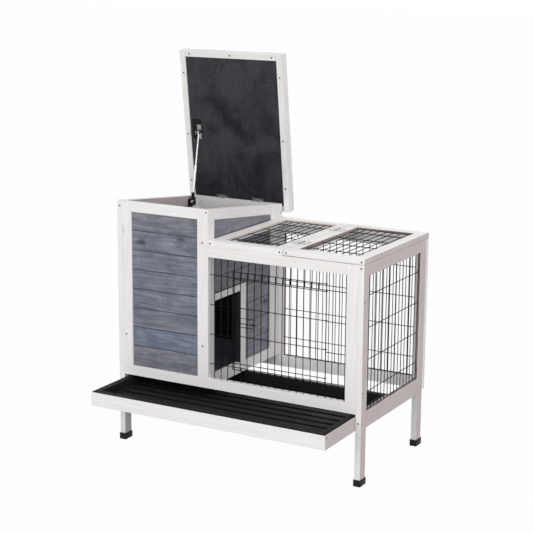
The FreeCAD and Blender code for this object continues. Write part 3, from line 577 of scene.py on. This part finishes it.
charcoal, tree, surface = finish("charcoal_board", specular=0.2)
board = attribute(tree, "board", "Vector")
marks = use(tree, smudge, Vector=board, Size=7.0)
scuffs = noise(tree, stretched(tree, board, 9, 60, 60), 1.0, 8.0, 0.75, 0.6)
dust = ramp(tree, noise(tree, board, DUST_SCALE, 3.0, 0.7), 0.55, 0.72)
dust = calc(tree, "MULTIPLY", dust, ramp(tree, marks["Clouds"], 0.9, 0.3))
paint = blend(tree, marks["Clouds"], FADED_CHARCOAL, DARK_CHARCOAL)
paint = over(tree, paint, ramp(tree, scuffs, 0.48, 0.75), 0.16, SCUFFED)
paint = over(tree, paint, dust, 0.22, DUSTY)
gloss = between(tree, marks["Clouds"], 0.5, 0.7)
feed(tree, surface, paint, gloss, scuffs, 0.15, 0.5 * MM)
print(charcoal.name, "made of", len(tree.nodes), "nodes")

# %% [markdown]
# The roof is covered with felt: mineral grit pressed into bitumen, nearly black. Grit could
# be thousands of small meshes. A cell pattern is enough here: each cell is a grain with its
# own shade, and the distance from its centre is its height.

# %% Roof felt
GRIT_SCALE = 700.0
DARK_GRIT = (0.025, 0.026, 0.03, 1)
PALE_GRIT = (0.1, 0.1, 0.11, 1)
WEATHERED = (0.05, 0.048, 0.046, 1)

felt, tree, surface = finish("roof_felt", specular=0.25)
place = object_place(tree)
grit = cells(tree, place, GRIT_SCALE)
shade = first_value(tree, grit["Color"])
marks = use(tree, smudge, Vector=place, Size=5.0)
stone = blend(tree, ramp(tree, shade, 0.3, 1.0), DARK_GRIT, PALE_GRIT)
stone = over(tree, stone, marks["Clouds"], 0.4, WEATHERED)
gloss = between(tree, shade, 0.75, 0.95)
feed(tree, surface, stone, gloss, grit["Distance"], 0.5, 0.8 * MM)
print(felt.name, "made of", len(tree.nodes), "nodes")

# %% [markdown]
# Wires, caps, pan and fittings are black, and each black is its own. Powder coating on the
# wires is a fine orange peel. The leg caps are moulded plastic. The pan is thin plastic sheet
# that was drawn over a mould: a little paler and matt. The grooves of its floor, where little
# light comes, are painted nearly black and without shine, as painted shade. Its grooves are
# marked on the mesh.

# %% Black finishes
JET = (0.003, 0.003, 0.0035, 1)
PLAIN_BLACK = (0.003, 0.003, 0.003, 1)
PAN_BLACK = (0.0085, 0.0078, 0.0082, 1)
SPECK = (0.3, 0.3, 0.3, 1)
GROOVE_PAINTED_SHADE = (0.0012, 0.0012, 0.0012, 1)


def times(colour, factor):
    """A colour with its three values multiplied."""
    return tuple(value * factor for value in colour[:3]) + (1,)


def black_finish(name, colour, gloss, skin, strength, specular):
    """A dark coating or plastic with a fine skin, and a gloss between two values."""
    material, tree, surface = finish(name, specular=specular)
    place = object_place(tree)
    marks = use(tree, smudge, Vector=place, Size=14.0)
    peel = noise(tree, place, skin, 3.0)
    tint = over(tree, colour, marks["Clouds"], 0.5, times(colour, 1.7))
    tint = over(tree, tint, marks["Specks"], 0.12, SPECK)
    # Painted shade: faces marked as grooves are nearly black and fully rough.
    tint = blend(tree, attribute(tree, "groove"), tint, GROOVE_PAINTED_SHADE)
    shine = between(tree, marks["Clouds"], *gloss)
    shine = between(tree, attribute(tree, "groove"), shine, 1.0)
    feed(tree, surface, tint, shine, peel, strength, 0.3 * MM)
    print(name, "made of", len(tree.nodes), "nodes")
    return material


black_wire = black_finish("black_wire", JET, (0.55, 0.7), 900.0, 0.15, specular=0.08)
black_plastic = black_finish("black_plastic", JET, (0.5, 0.65), 1500.0, 0.3, specular=0.2)
pan_plastic = black_finish("pan_plastic", PAN_BLACK, (0.6, 0.75), 1200.0, 0.15, specular=0.12)
black_steel = black_finish("black_steel", PLAIN_BLACK, (0.45, 0.6), 700.0, 0.15, specular=0.15)

# %% [markdown]
# Bare metal shows its surroundings, so it is mostly the shine that tells zinc from drawn
# steel. Fine noise sets the roughness. On the strut it is stretched upwards, as drawing a bar
# through a die leaves its marks.

# %% Bright and dark metals
EVEN_MARKS = (60, 60, 60)
DRAWN_MARKS = (60, 60, 4)


def metal_finish(name, colour, gloss, stretch=EVEN_MARKS):
    """Metal with clouds in its shine and fine marks, and a gloss between two values."""
    material, tree, surface = finish(name, metallic=1.0)
    place = object_place(tree)
    marks = use(tree, smudge, Vector=place, Size=30.0)
    lines = noise(tree, stretched(tree, place, *stretch), 8.0, 4.0, 0.6)
    tint = over(tree, colour, marks["Clouds"], 0.35, times(colour, 0.7))
    feed(tree, surface, tint, between(tree, lines, *gloss), lines, 0.08, 0.2 * MM)
    print(name, "made of", len(tree.nodes), "nodes")
    return material


screw_steel = metal_finish("screw_steel", (0.16, 0.155, 0.15, 1), (0.35, 0.55))
hinge_screw_steel = metal_finish("hinge_screw_steel", (0.03, 0.03, 0.03, 1), (0.4, 0.6))
bracket_steel = metal_finish("bracket_steel", (0.3, 0.3, 0.3, 1), (0.15, 0.3))
zinc_steel = metal_finish("zinc_steel", (0.46, 0.46, 0.45, 1), (0.3, 0.48))
strut_steel = metal_finish("strut_steel", (0.42, 0.415, 0.42, 1), (0.2, 0.34), DRAWN_MARKS)
tube_steel = metal_finish("tube_steel", (0.56, 0.545, 0.55, 1), (0.35, 0.5), DRAWN_MARKS)

# %% [markdown]
# Thin beads hold the mesh in its frames. On the right wall and on the lifting top they are
# painted a dull dark reddish-brown: the colour of the wood, darkened as painted shade. The
# others are painted pale pinkish, as painted light on the same wood. One material does both,
# and a mark on the mesh says which faces are pale.

# %% Beads in painted light and shade
SHADED_BROWN_BEAD = (0.42, 0.33, 0.315, 1)
BROWN_RING = (0.22, 0.16, 0.15, 1)
BROWN_STREAK = (0.1, 0.065, 0.06, 1)
LIT_PALE_BEAD = (0.8, 0.69, 0.66, 1)
PALE_STREAK = (0.62, 0.49, 0.46, 1)

stained_bead, tree, surface = finish("stained_bead", specular=0.3)
wood = use(tree, grain, Vector=attribute(tree, "board", "Vector"), Rings=30.0, Knots=0.6)
bead = blend(tree, wood["Rings"], SHADED_BROWN_BEAD, BROWN_RING)
bead = over(tree, bead, wood["Streaks"], 0.6, BROWN_STREAK)
pale_lit_wood = blend(tree, wood["Streaks"], LIT_PALE_BEAD, PALE_STREAK)
# Painted light and shade: marked beads take the lit pale colour, the others the shaded brown.
bead = blend(tree, attribute(tree, "pale"), bead, pale_lit_wood)
gloss = between(tree, wood["Streaks"], 0.5, 0.7)
feed(tree, surface, bead, gloss, wood["Height"], 0.3, 0.5 * MM)
print(stained_bead.name, "made of", len(tree.nodes), "nodes")

# %% [markdown]
# ## The timber
# The frames are sawn boards, sanded by machine. Sanding eases their edges by about a
# millimetre, and those edges catch the light. A bevel modifier does this on a whole frame at
# once, where a bevel by hand would go edge by edge. It is applied at once, because the faces
# that it makes are needed in the next step.


# %% Eased edges
def modify(piece, kind, **settings):
    """Add a modifier, set it and apply it."""
    only(piece)
    modifier = piece.modifiers.new(kind.title(), kind)
    for setting, value in settings.items():
        setattr(modifier, setting, value)
    bpy.ops.object.modifier_apply(modifier=modifier.name)


def ease_edges(piece, width, segments, angle=30):
    """Round the edges at which the surface turns by more than an angle in degrees."""
    limit = math.radians(angle)
    modify(
        piece, "BEVEL", width=width, segments=segments, limit_method="ANGLE", angle_limit=limit
    )


# %% [markdown]
# Materials have to know some faces from others. A face gets a number under a name, and the
# material reads it by that name. The narrow faces of a bevel are marked as edges, because the
# paint wears there first. Right-hand faces with thin paint and painted shade, and the faces of
# the doorway that are painted dark as shade, are marked by their direction: a face's normal
# along an axis is 1 when it looks that way, and 0 when it looks sideways.

# %% Eased and marked timber
RIGHTWARDS = Vector((1, 0, 0))
STRIP = 1.5
SQUARE_ON = 0.9
PARTLY = 0.5
# Frames whose right-hand faces get thin paint and painted shade.
THIN_PAINT_AND_SHADE = (
    "left_rails",
    "right_rails",
    "right_front_leg",
    "right_rear_leg",
    "run_lid_frame",
    "tray_frame",
)


def mark_faces(piece, name, chosen):
    """Store 1 on the chosen faces and 0 on the others."""
    values = np.array([float(chosen(face)) for face in piece.data.polygons], np.float32)
    piece.data.attributes.new(name, "FLOAT", "FACE").data.foreach_set("value", values)


def narrow(piece, face, width):
    """Whether a face is a thin strip, such as a bevel makes."""
    corners = piece.data.vertices
    longest = max((corners[a].co - corners[b].co).length for a, b in face.edge_keys)
    return face.area < longest * width


def eased_timber(node, seed, width):
    """A copy of a timber node with rounded edges, its grain and its marks."""
    thin = node in THIN_PAINT_AND_SHADE
    doorway = node == "doorway_frame"
    piece = merged_copy(node, node + "_timber")
    ease_edges(piece, width, segments=2)
    lay_grain(piece, seed)
    mark_faces(piece, "edge", lambda face: narrow(piece, face, STRIP * width))
    mark_faces(piece, "thin", lambda face: thin and face.normal.dot(RIGHTWARDS) > SQUARE_ON)
    mark_faces(piece, "dark", lambda face: doorway and face.normal.x < PARTLY)
    return piece


# %% [markdown]
# All frames, legs and rails are dressed in one loop, and all beads in another. The beads of
# the right wall lie beyond the inner side of its rails, so their place tells them from the
# pale ones.

# %% Frames and beads
TIMBER_EDGE = 0.8 * MM
BEAD_EDGE = 0.4 * MM
BEAD_SEED = 50

run_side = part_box("right_rails")[0][0]
TIMBER = [node for node, slot in slot_of.items() if slot == "white_timber"]
BEADS = [node for node, slot in slot_of.items() if slot == "stained_bead"]
for number, node in enumerate(TIMBER):
    dress(eased_timber(node, number, TIMBER_EDGE), node, white_timber)
for number, node in enumerate(BEADS):
    piece = eased_timber(node, BEAD_SEED + number, BEAD_EDGE)
    mark_faces(piece, "pale", lambda face: node == "mesh_beads" and face.center.x < run_side)
    dress(piece, node, stained_bead)
print(len(TIMBER), "timber pieces and", len(BEADS), "sets of beads with eased edges")

# %% [markdown]
# The planks have their chamfers from the CAD model, so they only need their grain. Each node
# says which way its inner side faces, and slanting faces are the chamfers. The floor of the
# box has its dark side down.

# %% Planks
PLANK_SEED = 100
INWARD_ENOUGH = 0.6
SLANTING = 0.95
PLANKS = {
    "box_front_planks": (outer_planks, Vector((0, 1, 0))),
    "left_planks": (outer_planks, Vector((1, 0, 0))),
    "back_planks": (outer_planks, Vector((0, -1, 0))),
    "partition_planks": (inner_planks, Vector((-1, 0, 0))),
    "box_floor": (floor_planks, Vector((0, 0, -1))),
}
for number, (node, (material, inward)) in enumerate(PLANKS.items()):
    piece = merged_copy(node, node + "_grained")
    lay_grain(piece, PLANK_SEED + number)
    mark_faces(piece, "inner", lambda face: face.normal.dot(inward) > INWARD_ENOUGH)
    mark_faces(piece, "edge", lambda face: max(abs(c) for c in face.normal) < SLANTING)
    dress(piece, node, material)
print("planks of", len(PLANKS), "walls and floors")

# %% [markdown]
# ## Lid board, pan and caps
# The lid board is a flat panel with crisp edges. It gets board coordinates, so that its
# scuffs run up and down it. The pan was drawn from sheet over a mould and the caps were
# moulded too, so all have round edges everywhere. The widest upward face of the pan is its
# floor, and what lies lower, such as the grooves in it, is marked for painted shade.

# %% Lid board, pan and caps
PANEL_EDGE = 0.5 * MM
MOULDED_EDGE = 1.1 * MM
PANEL_SEED = 200
GROOVE_MARGIN = 0.2 * MM
MOULDED_SMOOTH = math.radians(35)
LEVEL = 0.99

lid_board = merged_copy("box_lid_board", "box_lid_board_scuffed")
ease_edges(lid_board, PANEL_EDGE, segments=2)
lay_grain(lid_board, PANEL_SEED)
dress(lid_board, "box_lid_board", charcoal)
ROUNDED = {node: black_plastic for node in slot_of if node.endswith("_cap")}
ROUNDED["tray_pan"] = pan_plastic
for node, material in ROUNDED.items():
    piece = merged_copy(node, node + "_rounded")
    ease_edges(piece, MOULDED_EDGE, segments=3)
    bpy.ops.object.shade_smooth_by_angle(angle=MOULDED_SMOOTH)
    upward = [face for face in piece.data.polygons if face.normal.z > LEVEL]
    low = max(upward, key=lambda face: face.area).center.z - GROOVE_MARGIN
    mark_faces(piece, "groove", lambda face: node == "tray_pan" and face.center.z < low)
    dress(piece, node, material)
print("lid board and", len(ROUNDED), "rounded pieces")

# %% [markdown]
# ## Screws
# The frames are held by small screws with a cross recess. The CAD model has plain heads in
# their places. One head is modelled here, a low dome from which two crossed bars are cut, and
# it is copied to each place, because a change to one head is then a change to all. The bars
# are given as shares of the head's radius and height.

# %% One screw head
SCREW_RADIUS = 3.2 * MM
SCREW_HEIGHT = 0.8 * MM
HEAD_SIDES = 28
TURNED_SMOOTH = math.radians(40)
DOME_SHARE = 0.45
RECESS_LENGTH = 1.2
RECESS_WIDTH = 0.28
RECESS_DEPTH = 0.9


def settle(piece):
    """Put the object's place into its mesh, so that the object itself sits at the origin."""
    only(piece)
    bpy.ops.object.transform_apply(location=True, rotation=True, scale=True)


def cross_head(name, radius, height):
    """A low round head with a cross recess, whose base lies in the plane z = 0."""
    middle = (0, 0, height / 2)
    top = (0, 0, height)
    bpy.ops.mesh.primitive_cylinder_add(
        vertices=HEAD_SIDES, radius=radius, depth=height, location=middle
    )
    head = bpy.context.object
    head.name = name
    settle(head)
    ease_edges(head, DOME_SHARE * height, segments=3, angle=60)
    arms = []
    for turn in (0, math.pi / 2):
        bpy.ops.mesh.primitive_cube_add(size=1, location=top, rotation=(0, 0, turn))
        arm = bpy.context.object
        arm.scale = (RECESS_LENGTH * radius, RECESS_WIDTH * radius, RECESS_DEPTH * height)
        arms.append(arm)
        settle(arm)
    for arm in arms:
        modify(head, "BOOLEAN", object=arm, operation="DIFFERENCE", solver="EXACT")
        bpy.data.objects.remove(arm)
    only(head)
    bpy.ops.object.shade_smooth_by_angle(angle=TURNED_SMOOTH)
    return head


screw_model = cross_head("screw_model", SCREW_RADIUS, SCREW_HEIGHT)
print("screw head with", len(screw_model.data.polygons), "faces")

# %% [markdown]
# Each copy of a model has its own mesh. It is put at a point and its z axis is turned to face
# a direction. All copies are joined, so that the screws of one part of the cage are one piece.


# %% Copies of a model
def copies(model, places, name):
    """One object made of copies of a model, each at a point and facing a direction."""
    made = []
    for point, outward in places:
        piece = model.copy()
        piece.data = model.data.copy()
        bpy.context.scene.collection.objects.link(piece)
        piece.location = point
        piece.rotation_euler = outward.to_track_quat("Z", "Y").to_euler()
        settle(piece)
        made.append(piece)
    only(made[0])
    for piece in made:
        piece.select_set(True)
    bpy.ops.object.join()
    joined = bpy.context.object
    joined.name = name
    joined.data.name = name
    return joined


# %% [markdown]
# A head's place and direction come from the CAD model's head: its middle, and the direction
# in which its corners spread least. That direction may come out either way round, so it is
# turned to look away from the wood. Each node says which side that is. The tray has screws at
# both ends, so its side depends on where the screw is.


# %% Screws in the timber
def towards(direction, side):
    """A direction, turned round where it points away from a side."""
    direction = Vector(direction)
    return -direction if direction.dot(side) < 0 else direction


def head_places(node, sideways):
    """The base point and outward direction of each screw head of a CAD node."""
    piece = merged_copy(node, node + "_places")
    corners = corners_of(piece)
    places = []
    for head in solids(piece):
        middle = Vector(centre(corners[head]))
        axis = towards(spread(corners[head])[2], sideways(middle))
        places.append((middle - axis * SCREW_HEIGHT / 2, axis))
    bpy.data.objects.remove(piece)
    return places


SCREWS = {
    "frame_screws": lambda middle: Vector((1, -1, 0)),
    "run_lid_screws": lambda middle: Vector((0, -1, 0)),
    "box_lid_screws": lambda middle: Vector((0, -1, 0)),
    "tray_screws": lambda middle: Vector((middle.x, 0, 0)),
}
for node, sideways in SCREWS.items():
    dress(copies(screw_model, head_places(node, sideways), node + "_crossed"), node, screw_steel)
print("screws of", len(SCREWS), "nodes")

# %% [markdown]
# The hinges are held by smaller, flatter and darker screws, two in each leaf. On the run the
# leaves lie flat, so the screws stand on their upper side, a little in from the leaf's end.

# %% Screws in the hinges of the run
UP = Vector((0, 0, 1))
LEAF = 1.5 * MM
RUN_INSET = 8 * MM
RUN_STEPS = (-14 * MM, 14 * MM)
SMALL_RADIUS = 2.8 * MM
SMALL_HEIGHT = 0.2 * MM

small_screw = cross_head("small_screw_model", SMALL_RADIUS, SMALL_HEIGHT)
run_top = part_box("run_top_frame")[1][2]
for half, body, side in (("fixed", "cage", -1), ("moving", "run_lid", 1)):
    places = []
    for hinge in ("front", "rear"):
        low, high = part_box(f"run_hinge_{hinge}_{half}")
        x = (low[0] if side < 0 else high[0]) - side * RUN_INSET
        middle = (low[1] + high[1]) / 2
        for step in RUN_STEPS:
            places.append((Vector((x, middle + step, run_top + LEAF)), UP))
    piece = copies(small_screw, places, f"run_hinge_{half}_screws")
    piece.data.materials.append(hinge_screw_steel)
    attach(piece, body)
print("screws in the hinges of the run, at a height of", round(run_top + LEAF, 4), "m")

# %% [markdown]
# The roof lid stands open, so its leaves are tilted with it. Their screws face the front. The
# lid's own upward direction is found from the corners of its board. From the hinge's axis, a
# screw's place is a little way up the lid, and out to the face of the leaf on the board.

# %% Screws in the hinges of the lid
LID_RISE = 8.5 * MM
LID_STEPS = (-15 * MM, 15 * MM)

joints = {joint["name"]: joint for joint in frame["record"]["behaviour"]["joints"]}
lid_axis = Vector(joints["box_lid_hinge"]["pos_m"])
lid_corners = corners_of(lid_board)
lid_up = towards(spread(lid_corners)[0], UP)
lid_front = towards(RIGHTWARDS.cross(lid_up), Vector((0, -1, 0)))
board_face = max((Vector(corner) - lid_axis).dot(lid_front) for corner in lid_corners)
leaf_face = lid_axis + lid_up * LID_RISE + lid_front * (board_face + LEAF)
places = []
for hinge in ("left", "right"):
    low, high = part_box(f"box_hinge_{hinge}_lid")
    for step in LID_STEPS:
        x = (low[0] + high[0]) / 2 + step - lid_axis.x
        places.append((leaf_face + RIGHTWARDS * x, lid_front))
piece = copies(small_screw, places, "box_lid_hinge_screws")
piece.data.materials.append(hinge_screw_steel)
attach(piece, "box_lid")
for model in (screw_model, small_screw):
    bpy.data.objects.remove(model)
print(len(places), "screws in the hinges of the lid")

# %% [markdown]
# The strut's tube ends in a black moulded socket at the foot. It is a sleeve around the tube
# with a collar at its upper end. A cylinder without ends is the start. Its upper rim is
# extruded, widened and extruded again, which gives the collar, and a Solidify modifier gives
# the wall.

# %% Strut socket
SOCKET_SIDES = 32
SOCKET_RADIUS = 5.5 * MM
SOCKET_LENGTH = 24 * MM
SOCKET_RISE = 19 * MM
SOCKET_WALL = 0.45 * MM
SOCKET_EDGE = 0.15 * MM
SLOPE = 1 * MM
COLLAR = 3 * MM
WIDENED = 1.14

tube = merged_copy("strut_tube", "strut_places")
strut_axis = towards(spread(corners_of(tube))[0], UP)
bpy.data.objects.remove(tube)
foot = Vector(joints["strut_tube_hinge"]["pos_m"])
bpy.ops.mesh.primitive_cylinder_add(
    vertices=SOCKET_SIDES, radius=SOCKET_RADIUS, depth=SOCKET_LENGTH, end_fill_type="NOTHING"
)
socket = bpy.context.object
edit(socket, edges=lambda edge: all(socket.data.vertices[v].co.z > 0 for v in edge.vertices))
bpy.ops.mesh.extrude_region_move(TRANSFORM_OT_translate={"value": (0, 0, SLOPE)})
bpy.ops.transform.resize(value=(WIDENED, WIDENED, 1), center_override=(0, 0, 0))
bpy.ops.mesh.extrude_region_move(TRANSFORM_OT_translate={"value": (0, 0, COLLAR)})
leave()
modify(socket, "SOLIDIFY", thickness=SOCKET_WALL, offset=-1)
ease_edges(socket, SOCKET_EDGE, segments=2)
socket.location = foot + strut_axis * SOCKET_RISE
socket.rotation_euler = strut_axis.to_track_quat("Z", "Y").to_euler()
settle(socket)
bpy.ops.object.shade_smooth_by_angle(angle=TURNED_SMOOTH)
socket.name = "strut_socket"
socket.data.materials.append(black_plastic)
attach(socket, "strut_tube")
print("strut socket above the foot at", [round(c, 3) for c in foot])

# %% [markdown]
# ## The rest of the CAD nodes
# Wires, hinges and small metal keep their CAD shapes and take their finish from their slot.
# The lid's bracket and hinge leaves are darker and shinier than the other zinc, and the
# strut's tube is paler and duller than its rod, so these have a finish of their own.

# %% Finishes by slot
FINISHES = {
    "black_wire": black_wire,
    "black_steel": black_steel,
    "zinc_steel": zinc_steel,
    "strut_steel": strut_steel,
    "roof_felt": felt,
}
OWN_FINISH = {
    "strut_lid_bracket": bracket_steel,
    "strut_tube": tube_steel,
    "box_hinge_left_lid": bracket_steel,
    "box_hinge_right_lid": bracket_steel,
}
plain = [node for node, slot in slot_of.items() if slot in FINISHES]
for node in plain:
    materials = nodes[node].data.materials
    materials.clear()
    materials.append(OWN_FINISH.get(node, FINISHES[slot_of[node]]))
print(len(plain), "nodes keep their CAD shape")

# %% [markdown]
# ## Floor, backdrop and light
# The floor is a wide pale sheet. To the camera and in reflections it is almost plain white,
# and keeps a little of the cage's shadow. To all other light it is a middling grey, so that
# it doesn't throw too much light up at the cage. Light Path tells the two apart.

# %% Floor
FLOOR_SIZE = 60
FLOOR_GREY = (0.45, 0.45, 0.45, 1)
FLOOR_ROUGHNESS = 0.9
WHITE_SHARE = 0.98
WHITE = (1, 1, 1, 1)


def seen(tree):
    """1 for what the camera sees, directly, in a reflection or through something clear."""
    path = add(tree, "LightPath").outputs
    indirect = calc(tree, "MAXIMUM", path["Is Glossy Ray"], path["Is Transmission Ray"])
    return calc(tree, "MAXIMUM", path["Is Camera Ray"], indirect)


bpy.ops.object.select_all(action="DESELECT")
bpy.ops.mesh.primitive_plane_add(size=FLOOR_SIZE)
floor = bpy.context.object
floor.name = "floor"
floor_white, tree, surface = finish("floor_white", specular=0.0)
surface.inputs["Base Color"].default_value = FLOOR_GREY
surface.inputs["Roughness"].default_value = FLOOR_ROUGHNESS
white = add(tree, "Emission", {"Color": WHITE, "Strength": 1.0})
share = calc(tree, "MULTIPLY", seen(tree), WHITE_SHARE)
mixed = add(tree, "MixShader", {0: share, 1: surface.outputs[0], 2: white.outputs[0]})
tree.links.new(mixed.outputs[0], tree.nodes["Material Output"].inputs["Surface"])
floor.data.materials.append(floor_white)
print("floor of", FLOOR_SIZE, "m")

# %% [markdown]
# The world could be a picture of a studio. Plain white is simpler and leaves no marks on the
# metal: it is white to the camera and in reflections, and an even, weaker light to all else.

# %% World
WORLD_STRENGTH = 0.46

world = bpy.data.worlds.new("studio")
bpy.context.scene.world = world
world.use_nodes = True
tree = world.node_tree
soft = tree.nodes["Background"]
soft.inputs["Color"].default_value = WHITE
soft.inputs["Strength"].default_value = WORLD_STRENGTH
shown = add(tree, "Background", {"Color": WHITE, "Strength": 1.0})
mixed = add(tree, "MixShader", {0: seen(tree), 1: soft.outputs[0], 2: shown.outputs[0]})
tree.links.new(mixed.outputs[0], tree.nodes["World Output"].inputs["Surface"])
print("world of strength", WORLD_STRENGTH)

# %% [markdown]
# Five softboxes light the cage as a studio would: one in front and one at the right give most
# of the light, a weak one from the front left and one above shape the frames, and one behind
# lifts what is seen through the mesh. Large lamps keep the shadows soft.

# %% Lamps
LAMPS = {
    "key_light": {"place": (-1.6, -3.6, 2.8), "aim": (0, 0, 0.6), "size": 2.4, "power": 15},
    "front_fill": {"place": (0.3, -4.0, 1.3), "aim": (0, 0, 0.25), "size": 1.8, "power": 80},
    "side_light": {"place": (3.6, -0.6, 1.7), "aim": (0, 0, 0.5), "size": 2.0, "power": 52},
    "back_fill": {"place": (-1.2, 4.0, 1.6), "aim": (0, 0, 0.5), "size": 2.4, "power": 14},
    "top_light": {"place": (0.4, -0.2, 3.6), "aim": (0, 0, 0.6), "size": 2.0, "power": 25},
}


def softbox(name, place, aim, size, power):
    """A square area lamp that faces a point."""
    bpy.ops.object.light_add(type="AREA", location=place)
    lamp = bpy.context.object
    lamp.name = name
    lamp.data.size = size
    lamp.data.energy = power
    lamp.rotation_euler = (Vector(aim) - Vector(place)).to_track_quat("-Z", "Y").to_euler()


for name, settings in LAMPS.items():
    softbox(name, **settings)
print(len(LAMPS), "lamps")

# %% [markdown]
# The Standard view shows each colour about as it is written above, where a film-like view
# would make whites grey.

# %% View
bpy.context.scene.view_settings.view_transform = "Standard"
print("view", bpy.context.scene.view_settings.view_transform)
